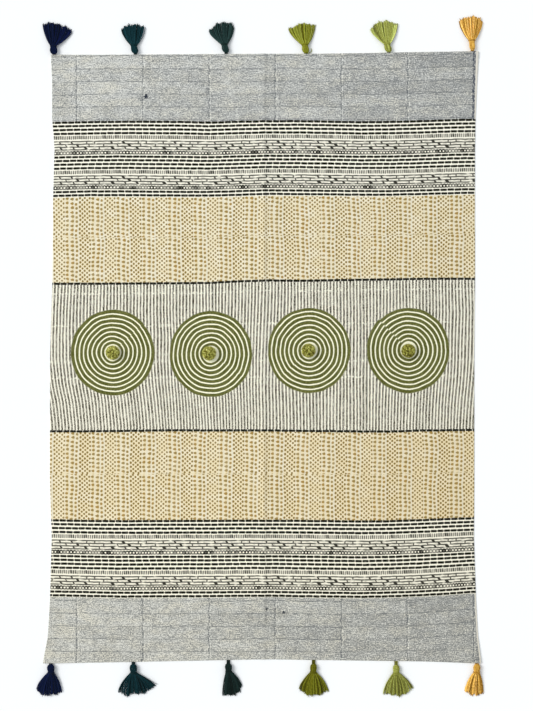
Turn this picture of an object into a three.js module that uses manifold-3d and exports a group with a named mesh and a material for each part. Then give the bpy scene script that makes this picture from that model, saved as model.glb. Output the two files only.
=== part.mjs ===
// A block-printed cotton dhurrie rug, laid flat, with tassels along both ends and four pompoms.
// Millimetres, +Z up. The rug's length runs along Y and its width along X. The floor is z = 0.
// The far end is at +Y and the near end at -Y. Left is -X and right is +X.
import * as THREE from "three";
import { mergeVertices } from "three/addons/utils/BufferGeometryUtils.js";
import Module from "manifold-3d";

// The cloth. Each end is turned under once as a hem, which thins to the cloth over the step.
const RUG_WIDTH = 1220;
const RUG_LENGTH = 1745;
const CLOTH_THICKNESS = 3;
const HEM_THICKNESS = 5;
const HEM_WIDTH = 15;
const HEM_STEP = 4;
const HALF_WIDTH = RUG_WIDTH / 2;
const HALF_LENGTH = RUG_LENGTH / 2;

// The clear distance between neighbouring pieces.
const PIECE_GAP = 0.3;

// The faint fold that runs the whole length of the rug.
const CREASE_ACROSS = 10;
const CREASE_HALF_WIDTH = 28;
const CREASE_HEIGHT = 2.6;

// The distance between the grid lines that the cloth is drawn on, and how far in from each long
// side the last of them lies.
const GRID_STEP = 90;
const FLARE_WIDTH = 36;

// How far each long side stands outside its straight line, by the place along the rug.
const SIDE_EDGES = [
  { along: -873, left: 23, right: 15 },
  { along: -856, left: 21, right: 14 },
  { along: -800, left: 10, right: 7 },
  { along: -690, left: 4, right: 1 },
  { along: -520, left: -1, right: -5 },
  { along: -350, left: 4, right: -4 },
  { along: 0, left: 4, right: -4 },
  { along: 230, left: -3, right: -2 },
  { along: 460, left: -5, right: -2 },
  { along: 600, left: -9, right: -2 },
  { along: 690, left: -2, right: 1 },
  { along: 873, left: -2, right: 1 },
];

// How far each end stands outside its straight line, by the place across the rug.
const END_EDGES = [
  { across: -610, far: -2, near: 6 },
  { across: -450, far: -2, near: 4 },
  { across: -300, far: -1, near: 1 },
  { across: -150, far: 0, near: -2 },
  { across: 0, far: 1, near: -5 },
  { across: 150, far: 1, near: -3 },
  { across: 300, far: 3, near: -1 },
  { across: 450, far: 6, near: 1 },
  { across: 610, far: 8, near: 6 },
];

// The edges keep these shifts close to themselves: a higher power holds them closer.
const EDGE_HOLD = 6;

// Soft swells where the cloth stands a little off the floor, the last three at its corners.
const SWELLS = [
  { across: -420, along: 560, radius: 180, height: 1.6 },
  { across: 220, along: 640, radius: 160, height: 1.2 },
  { across: 440, along: 330, radius: 170, height: 1.5 },
  { across: -280, along: -420, radius: 200, height: 1.6 },
  { across: 300, along: -640, radius: 210, height: 2 },
  { across: -610, along: -873, radius: 150, height: 4 },
  { across: 610, along: -873, radius: 120, height: 3 },
  { across: 610, along: 873, radius: 100, height: 2 },
];

// A tassel's head and neck. Both are wider than they are high, because the tassel lies down.
const HEAD_WIDTH = 22;
const HEAD_HEIGHT = 17;
const NECK_WIDTH = 17;
const NECK_HEIGHT = 12.4;
const TASSEL_AXIS_HEIGHT = 8.2;
const TASSEL_SIDES = 10;

// The head's outline from its tie, at 0, to its neck, at 1, as shares of its full width and
// height. lowering is how far its middle sinks towards the hem's own height, in millimetres.
const HEAD_PROFILE = [
  { along: 0, fullness: 0.3, lowering: 2.6 },
  { along: 0.12, fullness: 0.74, lowering: 0.8 },
  { along: 0.42, fullness: 1, lowering: 0 },
  { along: 0.78, fullness: 0.92, lowering: 0 },
];

// The short body that the locks grow from, outwards from the neck.
const SKIRT_PROFILE = [
  { past: 8, width: 21, height: 12, middle: 7 },
  { past: 15, width: 19, height: 7.6, middle: 5 },
];

// The yarn wound round the neck.
const BINDING_LENGTH = 5;
const BINDING_DEPTH = 1.5;
const BINDING_ROUNDING = 0.7;

// The stub of yarn that sews the tassel to the hem.
const TIE_HEM_WIDTH = 9;
const TIE_HEM_HEIGHT = 3.4;
const TIE_HEAD_WIDTH = 6;
const TIE_HEAD_HEIGHT = 4.4;

// A tassel's locks: one layer on the floor, and one that lies on it. They leave the neck close
// together, bend outwards, and thicken towards their tips, where they fill this share of the
// space that each has. Between two tufts they are shorter by the dip.
const LOCK_HEIGHT = 3.4;
const LOCK_ROOT_WIDTH = 2.2;
const LOCK_TIP_SHARE = 0.6;
const LOCK_ROOT_PAST = 4.5;
const LOCK_ROOT_SPREAD = 6;
const LOCK_BEND_OUT = 0.45;
const LOCK_BEND_ASIDE = 0.78;
const LOCK_STEPS = 3;
const TUFT_DIP = 0.05;
const LOCK_LAYERS = [
  { locks: 9, rootMiddle: 5, tipMiddle: LOCK_HEIGHT / 2, reachShare: 1 },
  { locks: 7, rootMiddle: 10.8, tipMiddle: LOCK_HEIGHT * 1.5 + 0.5, reachShare: 0.95 },
];

// One row for each tassel, from left to right along each end. sewnAt is where its tie meets
// the hem, across the rug. aside and neckOut place its neck from there. turns and reaches give
// its tufts: the angle of each from straight out, in degrees and positive towards the right,
// and its length from the neck.
const TASSELS = [
  {
    end: "far", colour: "navy", sewnAt: -602, aside: -1, neckOut: 24, headLength: 21,
    turns: [-26, -12, -3, 14, 32, 49], reaches: [69, 71, 68, 66, 67, 69],
  },
  {
    end: "far", colour: "teal", sewnAt: -368, aside: -4, neckOut: 25, headLength: 21,
    turns: [-37, -26, -14, 6, 28], reaches: [60, 62, 64, 65, 63],
  },
  {
    end: "far", colour: "green", sewnAt: -107, aside: -5, neckOut: 26, headLength: 21,
    turns: [-48, -28, -20, -2, 18, 26], reaches: [62, 61, 66, 65, 66, 59],
  },
  {
    end: "far", colour: "olive", sewnAt: 122, aside: -3, neckOut: 24, headLength: 21,
    turns: [-43, -30, -16, -3, 11, 25], reaches: [68, 60, 64, 64, 62, 65],
  },
  {
    end: "far", colour: "lime", sewnAt: 360, aside: -5, neckOut: 23, headLength: 20,
    turns: [-48, -31, -19, -1, 10, 26], reaches: [66, 71, 73, 74, 68, 67],
  },
  {
    end: "far", colour: "mustard", sewnAt: 600, aside: -2, neckOut: 30, headLength: 26,
    turns: [-31, -17, 4, 19, 28], reaches: [68, 69, 71, 69, 63],
  },
  {
    end: "near", colour: "navy", sewnAt: -611, aside: 1, neckOut: 26, headLength: 21,
    turns: [-38, -27, -7, 11, 26], reaches: [68, 78, 73, 69, 64],
  },
  {
    end: "near", colour: "teal", sewnAt: -374, aside: 1, neckOut: 30, headLength: 22,
    turns: [-38, -15, -2, 13, 27, 45, 59], reaches: [74, 72, 59, 64, 69, 69, 74],
  },
  {
    end: "near", colour: "green", sewnAt: -101, aside: 1, neckOut: 32, headLength: 21,
    turns: [-14, 6, 15, 26, 40], reaches: [72, 69, 69, 67, 54],
  },
  {
    end: "near", colour: "olive", sewnAt: 144, aside: -1, neckOut: 34, headLength: 22,
    turns: [-39, -14, -3, 15, 37], reaches: [65, 71, 70, 71, 69],
  },
  {
    end: "near", colour: "lime", sewnAt: 381, aside: 0, neckOut: 33, headLength: 21,
    turns: [-30, -9, 10, 25, 47], reaches: [71, 65, 67, 67, 67],
  },
  {
    end: "near", colour: "mustard", sewnAt: 613, aside: -1, neckOut: 25, headLength: 21,
    turns: [-29, -15, 2, 14, 24], reaches: [63, 70, 70, 62, 58],
  },
];

// The pompoms, each sewn on at the middle of one of the ring discs.
const POMPOMS = [
  { across: -432, along: 14 },
  { across: -156, along: 12 },
  { across: 129, along: 20 },
  { across: 415, along: 19 },
];

// A pompom's size, and the locks that stand out of its packed middle.
const POMPOM_RADIUS = 20.5;
const POMPOM_MIDDLE = 10;
const POMPOM_SIDES = 10;
const POMPOM_ROOT_RADIUS = 10;
const POMPOM_ROOT_WIDTH = 4;
const POMPOM_TIP_WIDTH = 7;

// The pompom's packed middle, from its flat foot to its crown.
const POMPOM_CORE = [
  { radius: 0, height: 0 },
  { radius: 10, height: 0 },
  { radius: 16.5, height: 6 },
  { radius: 16, height: 15 },
  { radius: 10, height: 23.5 },
  { radius: 0, height: 25.5 },
];

// Rings of locks round the pompom, from its side up to its crown. rise is in degrees.
const POMPOM_RINGS = [
  { rise: -8, locks: 10 },
  { rise: 26, locks: 7 },
  { rise: 60, locks: 4 },
];

const COLOURS = {
  navy: 0x142036,
  teal: 0x14302f,
  green: 0x26322f,
  olive: 0x6f7429,
  lime: 0x8a9146,
  mustard: 0xc3953a,
  cloth: 0xc2bca5,
  pompom: 0x87883f,
};

const library = await Module();
library.setup();

function yarnMaterial(colour) {
  return new THREE.MeshStandardMaterial({ color: colour, roughness: 0.95, metalness: 0 });
}

// Rises softly from 0 to 1 as share does.
function soften(share) {
  return share * share * (3 - 2 * share);
}

// Reads one column of a table at a place between two of its rows.
function readTable(rows, place, at, column) {
  const next = rows.findIndex((row) => row[place] >= at);
  if (next === -1) {
    return rows[rows.length - 1][column];
  }
  if (next === 0) {
    return rows[0][column];
  }
  const before = rows[next - 1];
  const after = rows[next];
  const share = (at - before[place]) / (after[place] - before[place]);
  return THREE.MathUtils.lerp(before[column], after[column], share);
}

// Even grid lines from -half to half, and the extra ones, less those that crowd an extra one.
function gridLines(half, extras) {
  const spaces = Math.round((2 * half) / GRID_STEP);
  const even = Array.from({ length: spaces + 1 }, (_, line) => (line * 2 * half) / spaces - half);
  const kept = even.filter((line) => extras.every((extra) => Math.abs(line - extra) > HEM_WIDTH));
  return [...kept, ...extras].sort((a, b) => a - b);
}

const FLARE_LINE = HALF_WIDTH - FLARE_WIDTH;
const COLUMNS = gridLines(HALF_WIDTH, [
  -HALF_WIDTH,
  -FLARE_LINE,
  CREASE_ACROSS - CREASE_HALF_WIDTH,
  CREASE_ACROSS - CREASE_HALF_WIDTH / 2,
  CREASE_ACROSS,
  CREASE_ACROSS + CREASE_HALF_WIDTH / 2,
  CREASE_ACROSS + CREASE_HALF_WIDTH,
  FLARE_LINE,
  HALF_WIDTH,
]);

const HEM_LINE = HALF_LENGTH - HEM_WIDTH;
const ROWS = gridLines(HALF_LENGTH, [
  -HALF_LENGTH,
  -HEM_LINE,
  HEM_STEP - HEM_LINE,
  HEM_LINE - HEM_STEP,
  HEM_LINE,
  HALF_LENGTH,
]);

// Where a point of the straight, square cloth lies on the floor.
function layOut(across, along) {
  const side = across < 0 ? "left" : "right";
  const end = along < 0 ? "near" : "far";
  const sideHold = Math.abs(across / HALF_WIDTH) ** EDGE_HOLD;
  const endHold = Math.abs(along / HALF_LENGTH) ** EDGE_HOLD;
  const sideways = readTable(SIDE_EDGES, "along", along, side) * sideHold;
  const endways = readTable(END_EDGES, "across", across, end) * endHold;
  return new THREE.Vector2(
    across + Math.sign(across) * sideways,
    along + Math.sign(along) * endways,
  );
}

// How far the underside of the cloth stands off the floor.
function liftAt(across, along) {
  const fromCrease = Math.abs(across - CREASE_ACROSS) / CREASE_HALF_WIDTH;
  const crease = CREASE_HEIGHT * soften(Math.max(0, 1 - fromCrease));
  const swells = SWELLS.map((swell) => {
    const away = Math.hypot(across - swell.across, along - swell.along) / swell.radius;
    return swell.height * soften(Math.max(0, 1 - away));
  });
  return Math.max(crease, ...swells);
}

// The cloth is thicker where its hems are turned.
function thicknessAt(along) {
  return Math.abs(along) >= HEM_LINE ? HEM_THICKNESS : CLOTH_THICKNESS;
}

function meshGeometry(positions, faces) {
  const geometry = new THREE.BufferGeometry();
  geometry.setAttribute("position", new THREE.Float32BufferAttribute(positions, 3));
  geometry.setIndex(faces);
  return geometry;
}

// Two triangles for a quad whose corners run anticlockwise as seen from outside.
function addQuad(faces, a, b, c, d) {
  faces.push(a, b, c, a, c, d);
}

// The cloth as one closed sheet: a top and an underside on the same grid, joined at the edges.
function rugGeometry() {
  const positions = [];
  for (const layer of [0, 1]) {
    for (const along of ROWS) {
      for (const across of COLUMNS) {
        const place = layOut(across, along);
        const height = liftAt(across, along) + layer * thicknessAt(along);
        positions.push(place.x, place.y, height);
      }
    }
  }
  const wide = COLUMNS.length;
  const long = ROWS.length;
  const under = (row, column) => row * wide + column;
  const top = (row, column) => wide * long + under(row, column);
  const faces = [];
  for (let row = 0; row < long - 1; row += 1) {
    for (let column = 0; column < wide - 1; column += 1) {
      addQuad(
        faces,
        top(row, column),
        top(row, column + 1),
        top(row + 1, column + 1),
        top(row + 1, column),
      );
      addQuad(
        faces,
        under(row, column),
        under(row + 1, column),
        under(row + 1, column + 1),
        under(row, column + 1),
      );
    }
    const last = wide - 1;
    addQuad(faces, under(row, 0), top(row, 0), top(row + 1, 0), under(row + 1, 0));
    addQuad(faces, under(row, last), under(row + 1, last), top(row + 1, last), top(row, last));
  }
  for (let column = 0; column < wide - 1; column += 1) {
    const last = long - 1;
    addQuad(faces, under(0, column), under(0, column + 1), top(0, column + 1), top(0, column));
    addQuad(
      faces,
      under(last, column),
      top(last, column),
      top(last, column + 1),
      under(last, column + 1),
    );
  }
  return meshGeometry(positions, faces);
}

// Where the outer face of a hem lies, at a place across the rug.
function hemEdge(end, across) {
  const along = end === "far" ? HALF_LENGTH : -HALF_LENGTH;
  const corners = COLUMNS.map((column) => layOut(column, along));
  const next = corners.findIndex((corner) => corner.x >= across);
  const before = corners[next - 1];
  const after = corners[next];
  return THREE.MathUtils.mapLinear(across, before.x, after.x, before.y, after.y);
}

// A closed skin over a row of rings, each a list of the same number of points. The points run
// clockwise as seen looking from the first ring towards the last.
function skin(rings) {
  const positions = rings.flat().flatMap((point) => [point.x, point.y, point.z]);
  const sides = rings[0].length;
  const lastRing = (rings.length - 1) * sides;
  const faces = [];
  for (let ring = 0; ring < rings.length - 1; ring += 1) {
    for (let side = 0; side < sides; side += 1) {
      const here = ring * sides + side;
      const beside = ring * sides + ((side + 1) % sides);
      addQuad(faces, here, beside, beside + sides, here + sides);
    }
  }
  for (let side = 1; side < sides - 1; side += 1) {
    faces.push(0, side + 1, side);
    faces.push(lastRing, lastRing + side, lastRing + side + 1);
  }
  return meshGeometry(positions, faces);
}

// An oval ring of points across a tassel's axis, with its underside kept on or over the floor.
function ovalRing(aside, out, middle, width, height, sides) {
  return Array.from({ length: sides }, (_, side) => {
    const angle = (side * 2 * Math.PI) / sides;
    return new THREE.Vector3(
      aside + (Math.sin(angle) * width) / 2,
      out,
      Math.max(0, middle + (Math.cos(angle) * height) / 2),
    );
  });
}

// A solid for joining, made from a geometry whose like points are merged.
function toSolid(geometry) {
  const plain = geometry.clone();
  plain.deleteAttribute("normal");
  plain.deleteAttribute("uv");
  const merged = mergeVertices(plain, 1e-4);
  return new library.Manifold(
    new library.Mesh({
      numProp: 3,
      vertProperties: new Float32Array(merged.attributes.position.array),
      triVerts: new Uint32Array(merged.index.array),
    }),
  );
}

// Several geometries joined into one closed body.
function fuse(geometries) {
  const solids = geometries.map(toSolid);
  const joined = solids.reduce((sum, solid) => sum.add(solid));
  const mesh = joined.getMesh();
  return meshGeometry(mesh.vertProperties, Array.from(mesh.triVerts));
}

// The head, neck and skirt body of a tassel, along its own axis.
function tasselBodyGeometry(aside, row) {
  const start = row.neckOut - row.headLength;
  const head = HEAD_PROFILE.map((part) =>
    ovalRing(
      aside * part.along,
      start + part.along * (row.headLength - BINDING_LENGTH / 2),
      TASSEL_AXIS_HEIGHT - part.lowering,
      HEAD_WIDTH * part.fullness,
      HEAD_HEIGHT * part.fullness,
      TASSEL_SIDES,
    ),
  );
  const neck = [-1, 1].map((way) =>
    ovalRing(
      aside,
      row.neckOut + way * (BINDING_LENGTH / 2 + PIECE_GAP),
      TASSEL_AXIS_HEIGHT,
      NECK_WIDTH,
      NECK_HEIGHT,
      TASSEL_SIDES,
    ),
  );
  const skirt = SKIRT_PROFILE.map((part) =>
    ovalRing(aside, row.neckOut + part.past, part.middle, part.width, part.height, TASSEL_SIDES),
  );
  return skin([...head, ...neck, ...skirt]);
}

// One lock of yarn: a three-sided taper along a bent path that comes down from the neck.
function lockGeometry(root, bend, tip, tipWidth) {
  const path = new THREE.QuadraticBezierCurve3(root, bend, tip);
  const rings = [];
  for (let step = 0; step <= LOCK_STEPS; step += 1) {
    const share = step / LOCK_STEPS;
    const middle = path.getPoint(share);
    const heading = path.getTangent(share);
    const aside = new THREE.Vector3(heading.y, -heading.x, 0).normalize();
    const half = THREE.MathUtils.lerp(LOCK_ROOT_WIDTH, tipWidth, share) / 2;
    const corner = (across, up) =>
      middle.clone().addScaledVector(aside, across * half).setZ(middle.z + (up * LOCK_HEIGHT) / 2);
    rings.push([corner(0, 1), corner(1, -1), corner(-1, -1)]);
  }
  return skin(rings);
}

// The locks of one layer. They run from tuft to tuft and are a little shorter between tufts.
function lockLayer(aside, turn, row, layer) {
  const tufts = row.turns.map((angle, tuft) => {
    return { tuft, angle: angle * turn, reach: row.reaches[tuft] };
  });
  const lastTuft = tufts.length - 1;
  const fan = Math.abs(tufts[lastTuft].angle - tufts[0].angle);
  const geometries = [];
  for (let lock = 0; lock < layer.locks; lock += 1) {
    const share = lock / (layer.locks - 1);
    const place = share * lastTuft;
    const angle = THREE.MathUtils.degToRad(readTable(tufts, "tuft", place, "angle"));
    const dip = 1 - TUFT_DIP * Math.abs(Math.sin(place * Math.PI));
    const reach = readTable(tufts, "tuft", place, "reach") * layer.reachShare * dip;
    const spacing = (reach * THREE.MathUtils.degToRad(fan)) / (layer.locks - 1);
    const rootAside = aside + turn * (2 * share - 1) * LOCK_ROOT_SPREAD;
    const tipAside = aside + Math.sin(angle) * reach;
    const root = new THREE.Vector3(rootAside, row.neckOut + LOCK_ROOT_PAST, layer.rootMiddle);
    const bend = new THREE.Vector3(
      THREE.MathUtils.lerp(rootAside, tipAside, LOCK_BEND_ASIDE),
      row.neckOut + LOCK_BEND_OUT * reach,
      layer.tipMiddle,
    );
    const tip = new THREE.Vector3(tipAside, row.neckOut + Math.cos(angle) * reach, layer.tipMiddle);
    geometries.push(lockGeometry(root, bend, tip, spacing * LOCK_TIP_SHARE));
  }
  return geometries;
}

// A whole tassel. turn is -1 at the near end, where the tassel's own right is the rug's left.
function tasselGeometry(aside, turn, row) {
  const locks = LOCK_LAYERS.flatMap((layer) => lockLayer(aside, turn, row, layer));
  return fuse([tasselBodyGeometry(aside, row), ...locks]);
}

// A soft-edged band round the neck. It is turned as a round ring, then pressed as the neck is.
function bindingGeometry() {
  const inner = NECK_WIDTH / 2 + PIECE_GAP;
  const outer = inner + BINDING_DEPTH;
  const half = BINDING_LENGTH / 2;
  const profile = [
    new THREE.Vector2(inner, -half),
    new THREE.Vector2(outer, BINDING_ROUNDING - half),
    new THREE.Vector2(outer, half - BINDING_ROUNDING),
    new THREE.Vector2(inner, half),
    new THREE.Vector2(inner, -half),
  ];
  const ring = new THREE.LatheGeometry(profile, TASSEL_SIDES);
  const pressed = (NECK_HEIGHT / 2 + PIECE_GAP) / inner;
  return ring.scale(1, 1, pressed);
}

// The stub of yarn between the hem and the head.
function tieGeometry(row, hemMiddle) {
  const headStart = row.neckOut - row.headLength;
  const headMiddle = TASSEL_AXIS_HEIGHT - HEAD_PROFILE[0].lowering;
  const sides = 8;
  return skin([
    ovalRing(0, PIECE_GAP, hemMiddle, TIE_HEM_WIDTH, TIE_HEM_HEIGHT, sides),
    ovalRing(0, headStart - PIECE_GAP, headMiddle, TIE_HEAD_WIDTH, TIE_HEAD_HEIGHT, sides),
  ]);
}

// A tassel with its binding and tie, placed at its stitch on the hem and turned to point out.
function tasselGroup(row) {
  const turn = row.end === "far" ? 1 : -1;
  const aside = row.aside * turn;
  const material = yarnMaterial(COLOURS[row.colour]);
  const label = `${row.end}_${row.colour}`;
  const hemMiddle = liftAt(row.sewnAt, turn * HALF_LENGTH) + HEM_THICKNESS / 2;

  const tassel = new THREE.Mesh(tasselGeometry(aside, turn, row), material);
  tassel.name = `tassel_${label}`;

  const binding = new THREE.Mesh(bindingGeometry(), material);
  binding.name = `binding_${label}`;
  binding.position.set(aside, row.neckOut, TASSEL_AXIS_HEIGHT);

  const tie = new THREE.Mesh(tieGeometry(row, hemMiddle), material);
  tie.name = `tie_${label}`;

  const group = new THREE.Group();
  group.add(tassel, binding, tie);
  group.position.set(row.sewnAt, hemEdge(row.end, row.sewnAt), 0);
  group.rotation.z = row.end === "far" ? 0 : Math.PI;
  return group;
}

// One lock of a pompom: a four-sided wedge that points away from the pompom's middle.
function pompomLockGeometry(direction) {
  const level = new THREE.Vector3(-direction.y, direction.x, 0).normalize();
  const across = level.clone().cross(direction);
  const middle = new THREE.Vector3(0, 0, POMPOM_MIDDLE);
  const ends = [
    { radius: POMPOM_ROOT_RADIUS, width: POMPOM_ROOT_WIDTH },
    { radius: POMPOM_RADIUS, width: POMPOM_TIP_WIDTH },
  ];
  const rings = ends.map((end) => {
    const centre = middle.clone().addScaledVector(direction, end.radius);
    const corner = (sideways, upwards) =>
      centre
        .clone()
        .addScaledVector(level, (sideways * end.width) / 2)
        .addScaledVector(across, (upwards * end.width) / 2);
    return [corner(-1, -1), corner(-1, 1), corner(1, 1), corner(1, -1)];
  });
  return skin(rings);
}

function pompomGeometry() {
  const profile = POMPOM_CORE.map((point) => new THREE.Vector2(point.radius, point.height));
  const core = new THREE.LatheGeometry(profile, POMPOM_SIDES).rotateX(Math.PI / 2);
  const locks = POMPOM_RINGS.flatMap((ring, level) =>
    Array.from({ length: ring.locks }, (_, lock) => {
      const around = ((lock + level / 2) * 2 * Math.PI) / ring.locks;
      const rise = THREE.MathUtils.degToRad(ring.rise);
      const direction = new THREE.Vector3(
        Math.cos(around) * Math.cos(rise),
        Math.sin(around) * Math.cos(rise),
        Math.sin(rise),
      );
      return pompomLockGeometry(direction);
    }),
  );
  return fuse([core, ...locks]);
}

function pompomMesh(place, index) {
  const pompom = new THREE.Mesh(pompomGeometry(), yarnMaterial(COLOURS.pompom));
  pompom.name = `pompom_${index + 1}`;
  const clothTop = liftAt(place.across, place.along) + CLOTH_THICKNESS;
  pompom.position.set(place.across, place.along, clothTop + PIECE_GAP);
  return pompom;
}

const rug = new THREE.Mesh(rugGeometry(), yarnMaterial(COLOURS.cloth));
rug.name = "rug";

const laidRug = new THREE.Group();
laidRug.add(rug, ...TASSELS.map(tasselGroup), ...POMPOMS.map(pompomMesh));

// The origin is on the floor, under the middle of all that is built.
const middle = new THREE.Box3().setFromObject(laidRug, true).getCenter(new THREE.Vector3());
laidRug.position.set(-middle.x, -middle.y, 0);

const dhurrie = new THREE.Group();
dhurrie.add(laidRug);
export default dhurrie;
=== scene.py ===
"""A block-printed cotton dhurrie rug, laid flat, with tasselled ends and four yarn pompoms.

Objects are in metres. The tables of the real pieces are in millimetres, as a maker measures them.
+X runs across the rug to its right side, +Y along it to its far end, and +Z up off the floor.
"""

import math
from types import SimpleNamespace

import bpy
import numpy as np
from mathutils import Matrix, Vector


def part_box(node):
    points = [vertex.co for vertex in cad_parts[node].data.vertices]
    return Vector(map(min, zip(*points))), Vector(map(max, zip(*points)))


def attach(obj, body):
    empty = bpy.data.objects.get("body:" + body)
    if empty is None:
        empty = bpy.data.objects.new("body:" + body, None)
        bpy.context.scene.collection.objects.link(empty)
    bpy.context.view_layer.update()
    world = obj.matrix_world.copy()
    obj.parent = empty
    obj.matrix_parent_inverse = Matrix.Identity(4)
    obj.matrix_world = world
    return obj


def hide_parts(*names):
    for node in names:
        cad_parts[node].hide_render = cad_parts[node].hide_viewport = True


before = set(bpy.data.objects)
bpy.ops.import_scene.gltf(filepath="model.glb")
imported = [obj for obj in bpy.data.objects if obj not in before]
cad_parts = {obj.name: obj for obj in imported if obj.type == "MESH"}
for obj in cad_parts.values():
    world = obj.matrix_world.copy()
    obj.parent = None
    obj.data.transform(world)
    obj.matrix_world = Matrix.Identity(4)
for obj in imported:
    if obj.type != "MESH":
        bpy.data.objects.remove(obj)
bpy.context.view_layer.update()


# ---------------------------------------------------------------------------------------------
# The studio: a pale floor, a camera straight over the rug, and soft light that comes a little
# more from the rug's left side.
# ---------------------------------------------------------------------------------------------
MM = 0.001
FRAME_HEIGHT_PX = 711
FLOOR_PER_PIXEL = 2.877 * MM
VIEW_MIDDLE = (17.1 * MM, 3.6 * MM)
CAMERA_HEIGHT = 3.5
SENSOR_HEIGHT = 24.0
FLOOR_SIZE = 14.0
FLOOR_DROP = 0.2 * MM
AIR_COLOUR = (0.92, 0.965, 1.0, 1.0)
AIR_STRENGTH = 0.67
LAMP_COLOUR = (1.0, 0.985, 0.955)
LAMP_STRENGTH = 1.78
LAMP_SPREAD = 28
LAMP_TURN = (-14, -42, 0)


def display_colour(red, green, blue):
    """A colour given as a screen shows it, from 0 to 255, as the shader's own linear colour."""
    linear = []
    for part in (red, green, blue):
        share = part / 255
        linear.append(share / 12.92 if share <= 0.04045 else ((share + 0.055) / 1.055) ** 2.4)
    return (*linear, 1.0)


def plain_material(name, colour, roughness, specular=0.2):
    """A new material with its Principled shader set to one colour, and that shader."""
    material = bpy.data.materials.new(name)
    material.use_nodes = True
    shader = material.node_tree.nodes["Principled BSDF"]
    shader.inputs["Base Color"].default_value = colour
    shader.inputs["Roughness"].default_value = roughness
    shader.inputs["Specular IOR Level"].default_value = specular
    return material, shader


def put_in_scene(name, data):
    thing = bpy.data.objects.new(name, data)
    bpy.context.scene.collection.objects.link(thing)
    return thing


def add_camera():
    data = bpy.data.cameras.new("Camera")
    data.sensor_fit = "VERTICAL"
    data.sensor_height = SENSOR_HEIGHT
    data.lens = SENSOR_HEIGHT * CAMERA_HEIGHT / (FRAME_HEIGHT_PX * FLOOR_PER_PIXEL)
    camera = put_in_scene("Camera", data)
    camera.location = (*VIEW_MIDDLE, CAMERA_HEIGHT)
    bpy.context.scene.camera = camera


def add_floor():
    half = FLOOR_SIZE / 2
    mesh = bpy.data.meshes.new("studio_floor")
    corners = [(-half, -half, 0), (half, -half, 0), (half, half, 0), (-half, half, 0)]
    mesh.from_pydata(corners, [], [(0, 1, 2, 3)])
    material, _ = plain_material("studio floor paint", display_colour(251, 252, 253), 0.9)
    mesh.materials.append(material)
    floor = put_in_scene("studio_floor", mesh)
    floor.location.z = -FLOOR_DROP


def add_lights():
    world = bpy.data.worlds.new("studio air")
    world.use_nodes = True
    background = world.node_tree.nodes["Background"]
    background.inputs["Color"].default_value = AIR_COLOUR
    background.inputs["Strength"].default_value = AIR_STRENGTH
    bpy.context.scene.world = world

    data = bpy.data.lights.new("soft lamp", "SUN")
    data.energy = LAMP_STRENGTH
    data.angle = math.radians(LAMP_SPREAD)
    data.color = LAMP_COLOUR
    lamp = put_in_scene("soft lamp", data)
    lamp.rotation_euler = [math.radians(turn) for turn in LAMP_TURN]


add_camera()
add_floor()
add_lights()
bpy.context.scene.view_settings.view_transform = "Standard"


# ---------------------------------------------------------------------------------------------
# The rug: one flat-woven cotton cloth on a 4 ft loom width. Both ends are turned under as a
# stitched hem, and both long sides are selvedges. It was stored folded, so a faint fold runs
# down its length.
# ---------------------------------------------------------------------------------------------
RUG_WIDTH = 1220
RUG_LENGTH = 1745
CLOTH_THICKNESS = 3
HEM_THICKNESS = 5
HEM_WIDTH = 15
HEM_STEP = 4
CREASE_ACROSS = 3
CREASE_LEFT_WIDTH = 26
CREASE_RIGHT_WIDTH = 10
CREASE_HEIGHT = 2.6
EDGE_HOLD = 6
LONG_RIPPLE = 0.16
SHORT_RIPPLE = 0.07
RIPPLE_FADE = 8
GRID_STEP = 7.6
RIM_LINES = (0, 0.35, 1.0, 2.2, 4.5)
HEM_LINES = (13.5, 15, 17, 19)

# The map that pictures of the cloth are laid on has its face large and its back small beside it.
# Each is given by its left side, its foot, its width and its height.
FACE_ON_MAP = (0.005, 0.005, 0.69, 0.99)
BACK_ON_MAP = (0.715, 0.01, 0.27, 0.39)

# How far each long side stands outside its straight line, by the place along the rug.
SIDE_EDGES = {
    "along": (-873, -856, -800, -690, -520, -350, 0, 230, 460, 600, 690, 800, 873),
    "left": (23, 21, 10, 4, -1, 4, 4, -3, -5, -9, -2, -2, 2),
    "right": (15, 14, 7, 1, -5, -4, -4, -2, -2, -2, 0, 5, 8),
}

# How far each end stands outside its straight line, by the place across the rug.
END_EDGES = {
    "across": (-610, -450, -300, -150, 0, 150, 300, 450, 610),
    "far": (-2, -2, -1, 0, 1, 1, 3, 6, 8),
    "near": (6, 4, 1, -2, -5, -3, -1, 1, 6),
}


def table(columns, *rows):
    """The rows of a table, each with its values under the names of their columns."""
    return [dict(zip(columns.split(), row)) for row in rows]


# Soft swells where the cloth stands a little off the floor, the last three at its corners.
SWELLS = table(
    "across along radius height",
    (-420, 560, 180, 1.6),
    (220, 640, 160, 1.2),
    (440, 330, 170, 1.5),
    (-280, -420, 200, 1.6),
    (300, -640, 210, 2),
    (-610, -873, 150, 4),
    (610, -873, 120, 3),
    (610, 873, 100, 2),
)

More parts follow.
